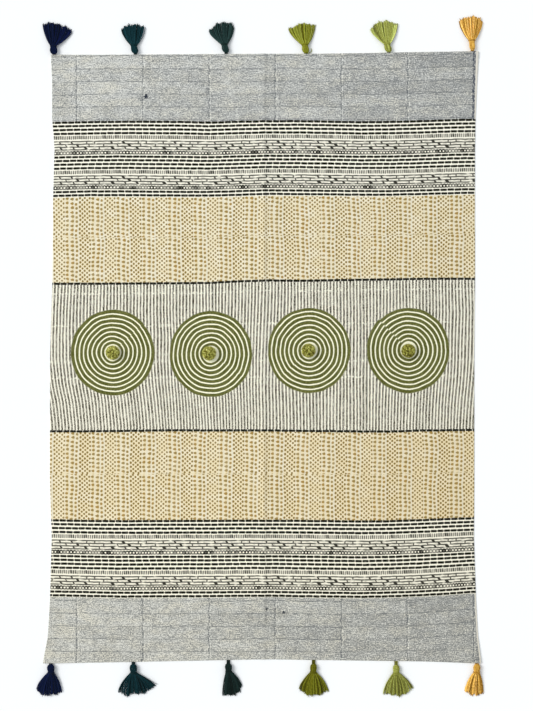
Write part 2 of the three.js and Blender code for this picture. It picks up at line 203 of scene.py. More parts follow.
# The rows of print were set down by hand. This is how far each runs above its straight line, by
# the place across the rug, for six rows between the far and the near end.
ROW_PLACES = (-600, -500, -410, -240, -155, -70, 20, 105, 280, 365, 450, 537, 600)
ROW_WANDER = {
    680: (-3.4, -1.7, -0.3, -0.9, -3.0, -0.5, 1.1, 1.3, -2.1, -0.9, 1.2, 4.2, 5.4),
    470: (-3.7, -1.4, -1.4, -2.7, -2.8, -0.6, 2.0, 1.3, -0.4, -0.5, 1.5, 4.0, 5.2),
    219: (-7.5, -7.2, -6.9, -5.8, -4.9, 0.0, 2.5, 1.2, 4.3, 5.5, 6.9, 7.5, 6.9),
    -211: (-1.7, -1.5, -0.6, 1.8, 0.8, 1.1, 1.1, -0.3, -2.0, -2.0, 0.6, 1.7, 2.3),
    -470: (0.9, -1.0, -1.5, -0.8, -1.0, -0.3, -0.6, -0.7, -2.5, -1.7, 1.2, 4.8, 7.0),
    -685: (1.1, -1.0, -2.7, -1.8, -1.6, -0.6, 0.1, -1.6, -3.3, -1.6, 1.1, 6.4, 11.0),
}

# The upright stripes lean: how far each has moved to the right, by the place across the rug, for
# rows down the striped band.
LEAN_PLACES = (-580, -292, -10, 272, 565)
STRIPE_LEAN = {
    200: (0, 0, 0, 0, 0),
    130: (-3.7, 1.0, -1.7, 0, 2.0),
    62: (-6.0, 4.0, -4.0, -0.7, 0),
    -7: (-5.0, 3.5, -7.5, 0.5, -2.0),
    -76: (3.3, 6.8, -8.0, 0.2, -7.2),
    -128: (13.3, 12.2, -7.0, 0, -11.4),
    -200: (20.7, 18.4, -6.0, 0, -15.4),
}


def soften(share):
    """Rises softly from 0 to 1 as share does."""
    share = np.clip(share, 0, 1)
    return share * share * (3 - 2 * share)


def lay_out(across, along):
    """Where points of the straight, square cloth lie on the floor."""
    side_hold = np.abs(across / (RUG_WIDTH / 2)) ** EDGE_HOLD
    end_hold = np.abs(along / (RUG_LENGTH / 2)) ** EDGE_HOLD
    left = np.interp(along, SIDE_EDGES["along"], SIDE_EDGES["left"])
    right = np.interp(along, SIDE_EDGES["along"], SIDE_EDGES["right"])
    far = np.interp(across, END_EDGES["across"], END_EDGES["far"])
    near = np.interp(across, END_EDGES["across"], END_EDGES["near"])
    sideways = np.where(across < 0, -left, right) * side_hold
    endways = np.where(along < 0, -near, far) * end_hold
    return across + sideways, along + endways


def lift_at(across, along):
    """How far the underside of the cloth stands off the floor."""
    from_crease = across - CREASE_ACROSS
    flank = np.where(from_crease < 0, CREASE_LEFT_WIDTH, CREASE_RIGHT_WIDTH)
    lift = CREASE_HEIGHT * soften(1 - np.abs(from_crease) / flank)
    for swell in SWELLS:
        away = np.hypot(across - swell["across"], along - swell["along"]) / swell["radius"]
        lift = np.maximum(lift, swell["height"] * soften(1 - away))
    return lift


def thickness_at(along):
    inside_hem = (np.abs(along) - (RUG_LENGTH / 2 - HEM_WIDTH - HEM_STEP)) / HEM_STEP
    return CLOTH_THICKNESS + (HEM_THICKNESS - CLOTH_THICKNESS) * soften(inside_hem)


def ripple_at(across, along):
    """The slight unevenness of a hand-woven cloth's face."""
    long_waves = np.sin(across / 61 + along / 143) * np.sin(along / 89 - across / 212 + 1.3)
    short_waves = np.sin(across / 23 + 2.1) * np.sin(along / 31 + across / 77)
    return LONG_RIPPLE * long_waves + SHORT_RIPPLE * short_waves


def cloth_heights(across, along):
    """The heights of the cloth's top and of its underside, which meet in a round rim."""
    half = thickness_at(along) / 2
    to_edge = np.minimum(RUG_WIDTH / 2 - np.abs(across), RUG_LENGTH / 2 - np.abs(along))
    to_edge = np.maximum(to_edge, 0)
    rounding = np.clip(to_edge / half, 0, 1)
    bulge = half * np.sqrt(np.maximum(0, 1 - (1 - rounding) ** 2))
    middle = lift_at(across, along) + half
    ripple = ripple_at(across, along) * soften(to_edge / RIPPLE_FADE)
    return middle + bulge + ripple, middle - bulge


def between_rows(table_rows, places, across, along):
    """Reads a table of rows at points anywhere across and along the rug."""
    rows = sorted(table_rows)
    values = np.array([np.interp(across, places, table_rows[row]) for row in rows])
    place = np.interp(along, rows, np.arange(len(rows)))
    first = np.minimum(place.astype(int), len(rows) - 2)
    share = place - first
    points = np.arange(len(across))
    return values[first, points] * (1 - share) + values[first + 1, points] * share


def cloth_lines(half, extra_lines=()):
    """Grid lines from edge to edge, close together at the rim and at a hem."""
    close = sorted(RIM_LINES + extra_lines)
    inner = half - close[-1]
    count = round(2 * inner / GRID_STEP)
    even = [inner * (2 * line / count - 1) for line in range(count + 1)]
    rim = [half - line for line in close[:-1]]
    return np.array([-line for line in rim] + even + rim[::-1])


def shared_grid(wide, long):
    """Vertex numbers of a top and an underside grid that share the vertices at their rim."""
    top = np.arange(wide * long).reshape(long, wide)
    under = top.copy()
    under[1:-1, 1:-1] = wide * long + np.arange((wide - 2) * (long - 2)).reshape(long - 2, -1)
    return top, under


def quads(grid):
    """The faces of a grid of vertex numbers, anticlockwise as seen from above."""
    corners = (grid[:-1, :-1], grid[:-1, 1:], grid[1:, 1:], grid[1:, :-1])
    return np.stack([corner.ravel() for corner in corners], axis=1)


def make_rug():
    columns = cloth_lines(RUG_WIDTH / 2)
    rows = cloth_lines(RUG_LENGTH / 2, HEM_LINES)
    across, along = (grid.ravel() for grid in np.meshgrid(columns, rows))
    place_x, place_y = lay_out(across, along)
    top_z, under_z = cloth_heights(across, along)
    low_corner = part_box("rug")[0]
    shift_x = low_corner.x / MM - place_x.min()
    shift_y = low_corner.y / MM - place_y.min()

    top, under = shared_grid(len(columns), len(rows))
    only_under = (top != under).ravel()
    top_faces = quads(top)
    faces = np.concatenate([top_faces, quads(under)[:, ::-1]])
    corners = faces.ravel()

    def on_both(values, under_values):
        """Values for the top's vertices, then for those that only the underside has."""
        return np.concatenate([values, under_values[only_under]])

    def add_map(name, u, v):
        layer = mesh.uv_layers.new(name=name)
        layer.data.foreach_set("uv", np.stack([u, v], axis=1).ravel())

    x = on_both(place_x + shift_x, place_x + shift_x)
    y = on_both(place_y + shift_y, place_y + shift_y)
    points = np.stack([x, y, on_both(top_z, under_z)], axis=1)
    mesh = bpy.data.meshes.new("rug_cloth")
    mesh.from_pydata((points * MM).tolist(), [], faces.tolist())
    mesh.polygons.foreach_set("use_smooth", np.ones(len(faces), bool))
    mesh.polygons.foreach_set("material_index", np.arange(len(faces)) >= len(top_faces))

    rise = between_rows(ROW_WANDER, ROW_PLACES, place_x, place_y)
    lean = between_rows(STRIPE_LEAN, LEAN_PLACES, place_x, place_y)
    maps = {
        "Cloth": (across, along),
        "Print": (place_x, place_y - rise),
        "Stripes": (place_x - lean, place_y - rise),
    }
    for name, (u, v) in maps.items():
        add_map(name, on_both(u, u)[corners] * MM, on_both(v, v)[corners] * MM)

    share_x, share_y = across / RUG_WIDTH + 0.5, along / RUG_LENGTH + 0.5
    on_back = np.arange(len(corners)) >= top_faces.size
    sides = zip(BACK_ON_MAP, FACE_ON_MAP)
    left, foot, width, height = (np.where(on_back, *both) for both in sides)
    map_x = left + width * on_both(share_x, share_x)[corners]
    map_y = foot + height * on_both(share_y, share_y)[corners]
    add_map("OFBake", map_x, map_y)

    mesh.update()
    return put_in_scene("rug_cloth", mesh), shift_x, shift_y


def feed(socket, value):
    """Links a tone or another node's socket to this one, or else sets its own value."""
    if isinstance(value, Tone):
        value = value.socket
    if isinstance(value, bpy.types.NodeSocket):
        value.id_data.links.new(value, socket)
    else:
        socket.default_value = value


def add_node(tree, kind, inputs, **choices):
    """Adds a node with its choices made and its inputs fed, by their names or their numbers."""
    node = tree.nodes.new(kind)
    for name, choice in choices.items():
        setattr(node, name, choice)
    for name, value in inputs.items():
        feed(node.inputs[name], value)
    return node


def work_out(kind, inputs, output=0, **choices):
    """Adds a node where its first tone is, and returns what it puts out as a tone."""
    tree = next(value.tree for value in inputs.values() if isinstance(value, Tone))
    return Tone(add_node(tree, kind, inputs, **choices).outputs[output])


def calculate(operation, *terms):
    return work_out("ShaderNodeMath", dict(enumerate(terms)), operation=operation)


def sum_of(operation):
    """A way to write a sum with tones as a plain sum, with the tone as its first term."""
    return lambda self, *other: calculate(operation, self, *other)


def sum_onto(operation):
    """The same, with the tone as its second term."""
    return lambda self, other: calculate(operation, other, self)


class Tone:
    """A number that varies over a surface. Sums of tones become the nodes of its material."""

    def __init__(self, socket):
        self.socket = socket
        self.tree = socket.id_data

    __add__ = sum_of("ADD")
    __radd__ = sum_onto("ADD")
    __sub__ = sum_of("SUBTRACT")
    __rsub__ = sum_onto("SUBTRACT")
    __mul__ = sum_of("MULTIPLY")
    __rmul__ = sum_onto("MULTIPLY")
    __truediv__ = sum_of("DIVIDE")
    __pow__ = sum_of("POWER")
    __abs__ = sum_of("ABSOLUTE")


def floor_of(tone):
    return calculate("FLOOR", tone)


def least(*tones):
    return calculate("MINIMUM", *tones)


def most(*tones):
    return calculate("MAXIMUM", *tones)


def over(tone, edge):
    """1 where the tone is greater than the edge, and else 0."""
    return calculate("GREATER_THAN", tone, edge)


def cycle(tone, length):
    """Counts up to the length and starts again from 0."""
    return calculate("FLOORED_MODULO", tone, length)


def distance(across, along):
    return calculate("SQRT", across * across + along * along)


def fade(tone, start, end):
    """Goes softly from 0 at start to 1 at end, whichever of the two is greater."""
    ends = {"Value": tone, "From Min": start, "From Max": end}
    return work_out("ShaderNodeMapRange", ends, interpolation_type="SMOOTHSTEP")


def within(away, reach, beyond, short):
    """1 up to the reach, with an edge that fades from a little short of it to a little beyond."""
    return fade(away, reach + beyond, reach - short)


def inside(tone, low, high, softness):
    """1 between low and high, with soft ends."""
    rising = fade(tone, low - softness, low + softness)
    falling = fade(tone, high + softness, high - softness)
    return rising * falling


def pick(choice, no, yes):
    """no where the choice is 0 and yes where it is 1."""
    return work_out("ShaderNodeMix", {0: choice, 2: no, 3: yes}, data_type="FLOAT")


def repeat(tone, pitch):
    """The number of a repeat, and how far a point lies from that repeat's middle."""
    number = floor_of(tone / pitch)
    return number, tone - (number + 0.5) * pitch


def point_at(first, second):
    return work_out("ShaderNodeCombineXYZ", {"X": first, "Y": second})


def chance(first, second):
    """A fixed random number from 0 to 1 for each pair of whole numbers."""
    spot = {"Vector": point_at(first, second)}
    return work_out("ShaderNodeTexWhiteNoise", spot, noise_dimensions="2D")


def mottle(across, along, width, height, detail=1.0):
    """Soft cloudy blotches of about this width and height, from 0 to 1."""
    spot = point_at(across / width, along / height)
    inputs = {"Vector": spot, "Scale": 1.0, "Detail": detail}
    return work_out("ShaderNodeTexNoise", inputs, "Fac", noise_dimensions="2D")


def patches(across, along, width, height, low, high, detail=1.0):
    """Blotches with plain ground between them: 0 where the mottle is low, and 1 where it is high."""
    return fade(mottle(across, along, width, height, detail), low, high)


def wander(across, along, width, height, span, detail=1.0):
    """Wanders by up to half the span to either side."""
    return (mottle(across, along, width, height, detail) - 0.5) * span


def new_tree(name, kind, inputs, outputs):
    """A node tree with named inputs and outputs, and the sockets that bring its inputs in."""
    tree = bpy.data.node_groups.new(name, kind)
    for in_out, sockets in (("INPUT", inputs), ("OUTPUT", outputs)):
        for label, holds in sockets.items():
            tree.interface.new_socket(name=label, in_out=in_out, socket_type="NodeSocket" + holds)
    return tree, tree.nodes.new("NodeGroupInput").outputs


def block(name, inputs, outputs, draw):
    """A node group for one printing block. draw takes its inputs as tones and returns its outputs."""
    numbers_in, numbers_out = dict.fromkeys(inputs, "Float"), dict.fromkeys(outputs, "Float")
    tree, given = new_tree(name, "ShaderNodeTree", numbers_in, numbers_out)
    drawn = draw(*[Tone(given[label]) for label in inputs])
    add_node(tree, "NodeGroupOutput", dict(zip(outputs, drawn)))
    return tree


def stamp(group, *terms):
    """Places a block's group in a material, and returns its outputs as tones."""
    tree = next(term.tree for term in terms if isinstance(term, Tone))
    node = add_node(tree, "ShaderNodeGroup", dict(enumerate(terms)), node_tree=group)
    return [Tone(output) for output in node.outputs]


# The dashes: rows of short thick strokes, in near-black.
DASH_PITCH = 19.7
DASH_HALF_LENGTH = 9.5
DASH_HALF_HEIGHT = 3.25


def draw_dashes(across, above, row):
    start = across / DASH_PITCH + chance(row, 3.0)
    stretch = mottle(across, row * 40.0, 130, 1, 0.0)
    number, aside = repeat(start + stretch * 0.5, 1.0)
    luck = chance(number, row)
    height = above - (luck - 0.5) * 0.05 * aside * DASH_PITCH
    height = height - (chance(number, row + 0.5) - 0.5) * 0.5
    ends = abs(aside * DASH_PITCH / (DASH_HALF_LENGTH - luck * 0.5)) ** 9
    body = abs(height / DASH_HALF_HEIGHT) ** 3
    ink = fade(ends + body + wander(across, above, 2.6, 1.5, 0.8), 1.4, 0.8)
    wear = patches(across, above + row * 9.0, 9, 3.5, 0.25, 0.45, 2.0)
    return [ink * (wear * 0.10 + 0.90)]


# The ticks: close upright strokes between the dashes and the bricks, unevenly inked.
TICK_PITCH = 6.1
TICK_HALF_WIDTH = 2.3
TICK_HALF_HEIGHT = 5.2


def draw_ticks(across, above, row):
    number, aside = repeat(across + wander(across, row * 31.0, 60, 1, 6.0, 0.0), TICK_PITCH)
    luck = chance(number, row + 0.25)
    lean = aside - above * (luck - 0.5) * 0.16
    width = within(abs(lean), TICK_HALF_WIDTH + (luck - 0.5) * 0.8, 0.7, 0.6)
    length = within(abs(above + luck - 0.5), TICK_HALF_HEIGHT, 0.7, 0.9)
    cloud = patches(across + row * 300.0, above, 20, 30, 0.34, 0.66)
    speck = patches(across, above, 2.2, 2.2, 0.30, 0.52)
    return [width * length * (cloud * 0.22 + 0.78) * (luck * 0.15 + 0.85) * (speck * 0.12 + 0.88)]


# The bricks: three courses between four thin lines, with slanting joints, some of them blotted.
COURSE_HEIGHT = 7.9
COURSES_HEIGHT = 3 * COURSE_HEIGHT
JOINT_PITCH = 37.1
JOINT_HALF_WIDTH = 1.9
JOINT_JOG = 15.0
LINE_HALF_HEIGHT = 1.7
JOINT_BLOT_RADIUS = 5.2
JOINT_BLOT_ROUNDNESS = 0.9
BRICK_REPEAT = 4.0


def draw_bricks(across, below, row):
    """below is measured down from the top line."""
    level = below + wander(across, row * 17.0, 26, 1, 2.0)
    course = floor_of(level / COURSE_HEIGHT)
    nearest = calculate("ROUND", level / COURSE_HEIGHT)
    from_line = abs(level - nearest * COURSE_HEIGHT)
    fill = mottle(across + nearest * 77.0, row * 60.0, 20, 1)
    lines = within(from_line, LINE_HALF_HEIGHT + (fill - 0.5) * 1.2, 0.7, 0.6)
    lines = lines * fade(fill, 0.12, 0.45)
    in_lines = inside(level, -LINE_HALF_HEIGHT - 1, COURSES_HEIGHT + LINE_HALF_HEIGHT + 1, 0.3)
    in_course = inside(level, 0.0, COURSES_HEIGHT, 0.3)

    number, aside = repeat(across + chance(course, 11.0) * JOINT_PITCH, JOINT_PITCH)
    block_number = cycle(number, BRICK_REPEAT)
    aside = aside - (chance(block_number, course + 4.5) - 0.5) * JOINT_JOG
    down_course = level - (course + 0.5) * COURSE_HEIGHT
    slant = chance(block_number, course + 8.5) * 0.9 - 0.2
    joint = within(abs(aside - down_course * slant), JOINT_HALF_WIDTH, 0.7, 0.7) * in_course
    inked = fade(chance(block_number, course + 2.5), 0.22, 0.70)
    inked = inked * (chance(number, course + 6.5) * 0.5 + 0.6)
    squash = math.sqrt(JOINT_BLOT_ROUNDNESS)
    from_blot = distance((aside - down_course * 0.7) * squash, down_course * squash)
    from_blot = from_blot + wander(across, below, 2.4, 2.4, 2.0)
    blot = within(from_blot, inked * JOINT_BLOT_RADIUS, 0.5, 1.0) * in_course
    smear = patches(across, below + row * 50.0, 12, 3.0, 0.42, 0.72) * in_course
    marks = most(lines * in_lines * 0.92, most(joint * 0.9, blot * 0.97))
    return [most(marks, smear * 0.36)]


# The chain of small ovals under the bricks. Most are outlines, and some have filled with ink.
OVAL_PITCH = 9.0
OVAL_HALF_WIDTH = 4.5
OVAL_HALF_HEIGHT = 4.9


def draw_ovals(across, above, row):
    number, aside = repeat(across + wander(across, row * 23.0, 70, 1, 9.0, 0.0), OVAL_PITCH)
    luck = chance(number, row + 0.75)
    reach = distance(
        aside / (OVAL_HALF_WIDTH + luck * 0.4), above / (OVAL_HALF_HEIGHT - luck * 0.5)
    )
    outline = fade(abs(reach + wander(across, above, 2.4, 2.0, 0.4) - 0.94), 0.56, 0.30)
    filled = fade(reach, 1.0, 0.75) * fade(chance(number, row + 0.15), 0.66, 0.82)
    cloud = patches(across + row * 211.0, above, 36, 30, 0.34, 0.66)
    return [most(outline * (cloud * 0.26 + 0.74), filled * (cloud * 0.55 + 0.35))]


# The linework: dashes, ticks, bricks and ovals, in that order from the rug's far end, twice over
# and closed by two more rows of dashes. The near end's is the same, a little longer.
FAR_LINEWORK_START = 677.9
NEAR_LINEWORK_START = -469.0
NEAR_STRETCH = 1.028
ORDER_LENGTH = 99.6
ROW_MARGIN = 6.0
BAND_MARGIN = 4.0
DASH_ROW_PITCH = 10.7
FIRST_DASH_PITCH = 10.1
DASH_PITCH_GROWTH = 0.22
TICKS_DOWN = 43.6
BRICKS_DOWN = 54.9
OVALS_DOWN = 88.0
LINEWORK_LENGTH = 214.0
LAST_DASH_ROW = 3.0
BORDER_MIDDLE = 4.3
BORDER_DISTANCE = 214.9
BORDER_MARGIN = 8.0


def draw_linework(across, along):
    """Ink of the two linework bands and of the two dashed lines beside the striped band. Also gives
    how far down the linework a point lies, in its own order."""
    far_side = over(along, 0.0)
    from_near = (NEAR_LINEWORK_START - along) / NEAR_STRETCH
    down = pick(far_side, from_near, FAR_LINEWORK_START - along)
    order, _ = repeat(down + ROW_MARGIN, ORDER_LENGTH)
    into = down - order * ORDER_LENGTH
    band = inside(down, -BAND_MARGIN, LINEWORK_LENGTH, 0.2)
    row = order + far_side * 5.0

    dash_row = calculate("ROUND", into / DASH_ROW_PITCH)
    dash_row = least(most(dash_row, 0.0), LAST_DASH_ROW)
    dash_centre = dash_row * (dash_row * DASH_PITCH_GROWTH + FIRST_DASH_PITCH)
    above_border = abs(along - BORDER_MIDDLE) - BORDER_DISTANCE
    at_border = over(BORDER_MARGIN, abs(above_border))
    row_number = pick(at_border, dash_row + row * 7.0, far_side + 90.0)
    above_row = pick(at_border, into - dash_centre, above_border)
    dashes = stamp(DASH_BLOCK, across, above_row, row_number)[0] * most(band, at_border)

    ticks = stamp(TICK_BLOCK, across, into - TICKS_DOWN, row)[0]
    bricks = stamp(BRICK_BLOCK, across, into - BRICKS_DOWN, row)[0]
    ovals = stamp(OVAL_BLOCK, across, into - OVALS_DOWN, row)[0]
    fine = most(ticks, most(bricks, ovals)) * band * over(2.0, order + 0.5)
    return [most(dashes, fine), down]


# The gold: in each repeat two columns of wedge marks and one of round ones, with paler lanes
# between them, then five close columns of small dots, every second one set half a step down.
# Places are from the repeat's start. Every second repeat's dots are smaller and fainter, and in
# each band one row of blocks stands on another, a little to one side.
GOLD_REPEAT = 73.7
GOLD_START = -55.0
MARK_STEP = 12.1
WEDGES = (6.2, 20.6)
ROUNDS = 32.9
LANES = (-0.2, 13.4, 26.9, 38.2)
LANE_HALF_WIDTH = 2.3
DOT_PITCH = 6.85
DOTS_START = 43.4 - DOT_PITCH / 2
WEDGE_DRIFT = 2.3
GOLD_SEAMS = (349.6, -334.0)


def draw_gold(across, along):
    block_row = over(along, GOLD_SEAMS[0]) + over(along, 0.0) + over(along, GOLD_SEAMS[1])
    block_luck = chance(block_row, 4.0)
    waver = wander(across, along, 150, 60, 5.0, 0.0) + (block_luck - 0.5) * 3.0
    repeat_number, from_middle = repeat(across - GOLD_START + waver, GOLD_REPEAT)
    place = from_middle + GOLD_REPEAT / 2
    height = along + block_luck * 9.0 + wander(along, across, 200, 90, 8.0, 0.0)
    ragged = wander(across, along, 2.6, 2.6, 1.2)
    strong = cycle(repeat_number, 2.0)

    in_bold = over(DOTS_START, place)
    second = over(place, (WEDGES[0] + WEDGES[1]) / 2)
    round_one = over(place, (WEDGES[1] + ROUNDS) / 2)
    bold_middle = second * (WEDGES[1] - WEDGES[0]) + round_one * (ROUNDS - WEDGES[1]) + WEDGES[0]
    bold_aside = place - bold_middle
    bold_row, bold_above = repeat(height + (second + round_one) * WEDGE_DRIFT, MARK_STEP)
    jog = chance(bold_row, repeat_number * 8.0 + second + round_one) - 0.5
    taper = pick(round_one, (bold_aside + 4.0) * 0.24, 0.0)
    across_share = (bold_aside + jog * 1.8) / pick(round_one, second * 0.6 + 4.4, 3.6)
    up_share = (bold_above + jog * 1.4) / (pick(round_one, 2.5, 3.6) + taper)
    bold = fade(abs(across_share) ** 3 + up_share * up_share + ragged, 1.35, 0.6) * in_bold
    run = fade(abs(bold_aside - 1.6), 4.2, 1.8) * in_bold * (1.0 - round_one)
    run = run * patches(across, along, 9, 26, 0.34, 0.62)

    dot_column, dot_aside = repeat(place - DOTS_START, DOT_PITCH)
    alternate = cycle(dot_column, 2.0) * 0.5
    dot_row, dot_above = repeat(height + alternate * MARK_STEP, MARK_STEP)
    luck = chance(dot_row, repeat_number * 8.0 + dot_column + 30.0)
    first = over(0.5, dot_column)
    half = strong * 0.2 + first * 0.35 + 2.8
    wide = (dot_aside + luck - 0.5) / half
    high = (dot_above + (luck - 0.5) * 0.8) / (half + luck * 0.5)
    in_dots = inside(place, DOTS_START, DOTS_START + 5 * DOT_PITCH, 0.3)
    dots = fade(wide * wide + high * high + ragged, 1.45, 0.5) * in_dots
    faint = patches(across, along, 45, 30, 0.2, 0.6)

    lanes = 0.0
    for lane in LANES:
        lanes = within(abs(place - lane), LANE_HALF_WIDTH, 0.8, 0.8) + lanes
    dots = dots * (faint * 0.14 + strong * 0.06 + 0.84)
    return [bold * (faint * 0.16 + 0.8), dots, run, lanes]


# The stripes: close upright lines in a greyed brown, each broken by the weave. Where two blocks
# of them meet, a row of light flecks is left.
STRIPE_PITCH = 9.44
STRIPE_HALF_WIDTH = 2.8
STRIPE_SEAMS = (190.0, 96.0, -10.0, -56.0)


def draw_stripes(across, along):
    """across is measured with the stripes' lean taken out."""
    number, aside = repeat(across + wander(across, along, 70, 130, 3.0, 0.0), STRIPE_PITCH)
    luck = chance(number, 5.0)
    fray = wander(across, along + luck * 90.0, 2.2, 5.0, 1.8)
    line = within(abs(aside) + fray, STRIPE_HALF_WIDTH + (luck - 0.5) * 0.6, 0.7, 0.7)
    strength = patches(across + luck * 50.0, along, 7, 26, 0.22, 0.62)
    fleck = patches(across, along, 2.0, 1.6, 0.72, 0.62, 0.0)
    seams = 0.0
    for seam in STRIPE_SEAMS:
        seams = fade(abs(along - seam), 4.0, 1.2) + seams
    missed = seams * patches(across, along, 5.0, 4.0, 0.56, 0.66, 0.0)
    return [line * (strength * 0.26 + 0.74) * fleck * (1.0 - most(0.0, least(missed, 0.9)))]


# The four discs: an olive round with seven thin cream rings left in it, and a cream middle. Each
# was stamped round its middle by hand, so its rings miss by a small step where they meet again.
RING_PITCH = 12.5
RINGS_REACH = 108.0 + RING_PITCH / 2
CREAM_MIDDLE = 24.0
RING_HALF_WIDTH = 1.8
DISCS_MADE = table(
    "across along radius roundness meets_at step",
    (-432.7, 13.9, 119.5, 1.028, 0.75, 1.6),
    (-151.6, 9.9, 118.5, 1.041, -0.6, 1.2),
    (131.6, 19.9, 118.0, 1.038, 3.9, -1.4),
    (417.5, 21.5, 119.0, 1.030, 2.36, 3.6),
)


def by_disc(number, column):
    """Looks up one of the discs' columns by the disc's number."""
    value = number * 0.0 + DISCS_MADE[0][column]
    for disc in range(1, len(DISCS_MADE)):
        step = DISCS_MADE[disc][column] - DISCS_MADE[disc - 1][column]
        value = value + over(number, disc - 0.5) * step
    return value


def draw_discs(across, along):
    middles = [disc["across"] for disc in DISCS_MADE]
    number = 0.0
    for left, right in zip(middles, middles[1:]):
        number = over(across, (left + right) / 2) + number
    aside = across - by_disc(number, "across")
    up = (along - by_disc(number, "along")) / by_disc(number, "roundness")
    reach = distance(aside, up) + wander(across, along, 44, 44, 3.8)
    turned = calculate("ARCTAN2", up, aside) - by_disc(number, "meets_at")
    round_share = cycle(turned / (2 * math.pi), 1.0)
    slip = (0.5 - round_share) * by_disc(number, "step")
    fray = wander(across, along, 2.6, 2.6, 1.7)
    _, from_ring = repeat(RINGS_REACH + slip - reach, RING_PITCH)
    rings = within(abs(from_ring) + fray, RING_HALF_WIDTH, 0.6, 0.6)
    rings = rings * inside(reach, CREAM_MIDDLE, RINGS_REACH, 0.3)
    middle = within(reach + fray, CREAM_MIDDLE, 0.6, 0.6)
    shape = within(reach - slip + fray, by_disc(number, "radius"), 0.8, 0.8)
    return [shape, most(rings, middle) * shape]


# The grey ends: a worn hatch of fine broken lines, stamped in rows with a long, shallow block.
# Where two blocks meet, the ink is missed or doubled. It thins a little towards the rug's left.
GREY_BLOCK_WIDTH = 190.3
GREY_BLOCK_DEPTH = 36.4
GREY_FIRST_SEAM = -534.0
GREY_FIRST_ROW = 6.0
HATCH_PITCH = 4.7
INK_STARTS = 1.224
INK_TO_RIGHT = 0.00020


def draw_grey(across, along):
    drift = wander(across, along, 12, 20, 11.0, 2.0)
    column, from_column = repeat(across - GREY_FIRST_SEAM + drift, GREY_BLOCK_WIDTH)
    slip = (chance(column, 2.0) - 0.5) * 3.0 + wander(across, 0.0, 60, 1, 4.0)
    row, from_row = repeat(along + GREY_FIRST_ROW + slip, GREY_BLOCK_DEPTH)
    lined = calculate("SINE", (along + slip) * (2 * math.pi / HATCH_PITCH))
    lined = lined * patches(across, along + 700.0, 40, 16, 0.40, 0.70)
    hatch = mottle(across, along, 17, 1.7)
    streaks = mottle(across + 230.0, along, 6.5, 2.1)
    grain = mottle(across + 400.0, along, 3.2, 2.6, 0.5)
    cloud = mottle(across, along + 900.0, 60, 30)
    tint = chance(column, row)
    depth = hatch * 0.95 + streaks * 0.75 + grain * 1.25 + cloud * 0.26 + tint * 0.12 + lined * 0.15
    ink = fade(depth - INK_STARTS + across * INK_TO_RIGHT, -0.05, 0.80)

    to_seam = GREY_BLOCK_WIDTH / 2 - from_column
    to_side = GREY_BLOCK_WIDTH / 2 - abs(from_column)
    to_row = GREY_BLOCK_DEPTH / 2 - abs(from_row)
    missed = fade(to_side, 2.4, 0.9) * patches(across, along, 3.4, 4.6, 0.48, 0.60, 0.0)
    doubled = fade(abs(to_seam - 3.4), 3.0, 1.2) * patches(across, along + 50.0, 4, 4.6, 0.40, 0.55)
    smudged = patches(across, along + 350.0, 13, 10, 0.54, 0.78, 2.0) * fade(to_side, 18.0, 3.0)
    broken = patches(across, row * 13.0, 30, 1, 0.36, 0.52)
    broken = broken * (chance(column, row + 7.0) * 0.5 + 0.5)
    overlap = fade(to_row, 2.1, 0.6) * broken
    dark = most(doubled * 0.78, most(smudged * 0.42, overlap * 0.76))
    return [most(0.0, ink - missed * 0.8), least(1.0, dark)]


# The plain weave: weft ribs that pass over and under each warp end.
WARP_PITCH = 3.1
WEFT_PITCH = 2.1


def draw_weave(across, along):
    waver = wander(across, along, 26, 18, 2.2)
    weft = calculate("SINE", (along + waver) * (math.pi / WEFT_PITCH))
    warp = calculate("SINE", (across + waver) * (math.pi / WARP_PITCH))
    slub = mottle(across, along, 14, 2.0)
    return [weft * warp * 0.5 + slub * 0.9, slub]


DASH_BLOCK = block("dash rows", ("Across", "Above", "Row"), ("Ink",), draw_dashes)
TICK_BLOCK = block("tick row", ("Across", "Above", "Row"), ("Ink",), draw_ticks)
BRICK_BLOCK = block("brick courses", ("Across", "Below", "Row"), ("Ink",), draw_bricks)
OVAL_BLOCK = block("oval chain", ("Across", "Above", "Row"), ("Ink",), draw_ovals)
LINEWORK = block("linework", ("Across", "Along"), ("Ink", "Down"), draw_linework)
GOLD = block("gold columns", ("Across", "Along"), ("Bold", "Dots", "Run", "Lanes"), draw_gold)
STRIPES = block("stripes", ("Across", "Along"), ("Ink",), draw_stripes)
DISCS = block("ring discs", ("Across", "Along"), ("Disc", "Rings"), draw_discs)
GREY = block("grey ends", ("Across", "Along"), ("Ink", "Dark"), draw_grey)
WEAVE = block("plain weave", ("Across", "Along"), ("Height", "Slub"), draw_weave)

# The inks and the cotton, as they look in even light.
COTTON = display_colour(252, 248, 231)
GOLD_GROUND = display_colour(237, 225, 192)
AGED_GOLD = display_colour(232, 208, 158)
LANE_COTTON = display_colour(222, 218, 203)
GREY_GROUND = display_colour(225, 225, 219)
WARM_GREY = display_colour(229, 226, 213)
GREY_INK = display_colour(130, 132, 132)
GREY_DARK_INK = display_colour(84, 90, 96)
BLACK_INK = display_colour(20, 20, 8)
STRIPE_INK = display_colour(57, 50, 32)
GOLD_INK = display_colour(146, 122, 60)
BRIGHT_GOLD_INK = display_colour(182, 142, 68)
DOT_INK = display_colour(136, 112, 52)
OLIVE_INK = display_colour(70, 74, 16)
OLIVE_WASH = display_colour(196, 196, 130)
RUN_GOLD = display_colour(206, 176, 104)
RING_COTTON = display_colour(255, 253, 224)
SELVEDGE_COTTON = display_colour(224, 218, 206)
SELVEDGE_INK = display_colour(52, 60, 78)
BLOT_INK = display_colour(34, 42, 56)
AGED_COTTON = (1.0, 0.98, 0.935, 1)

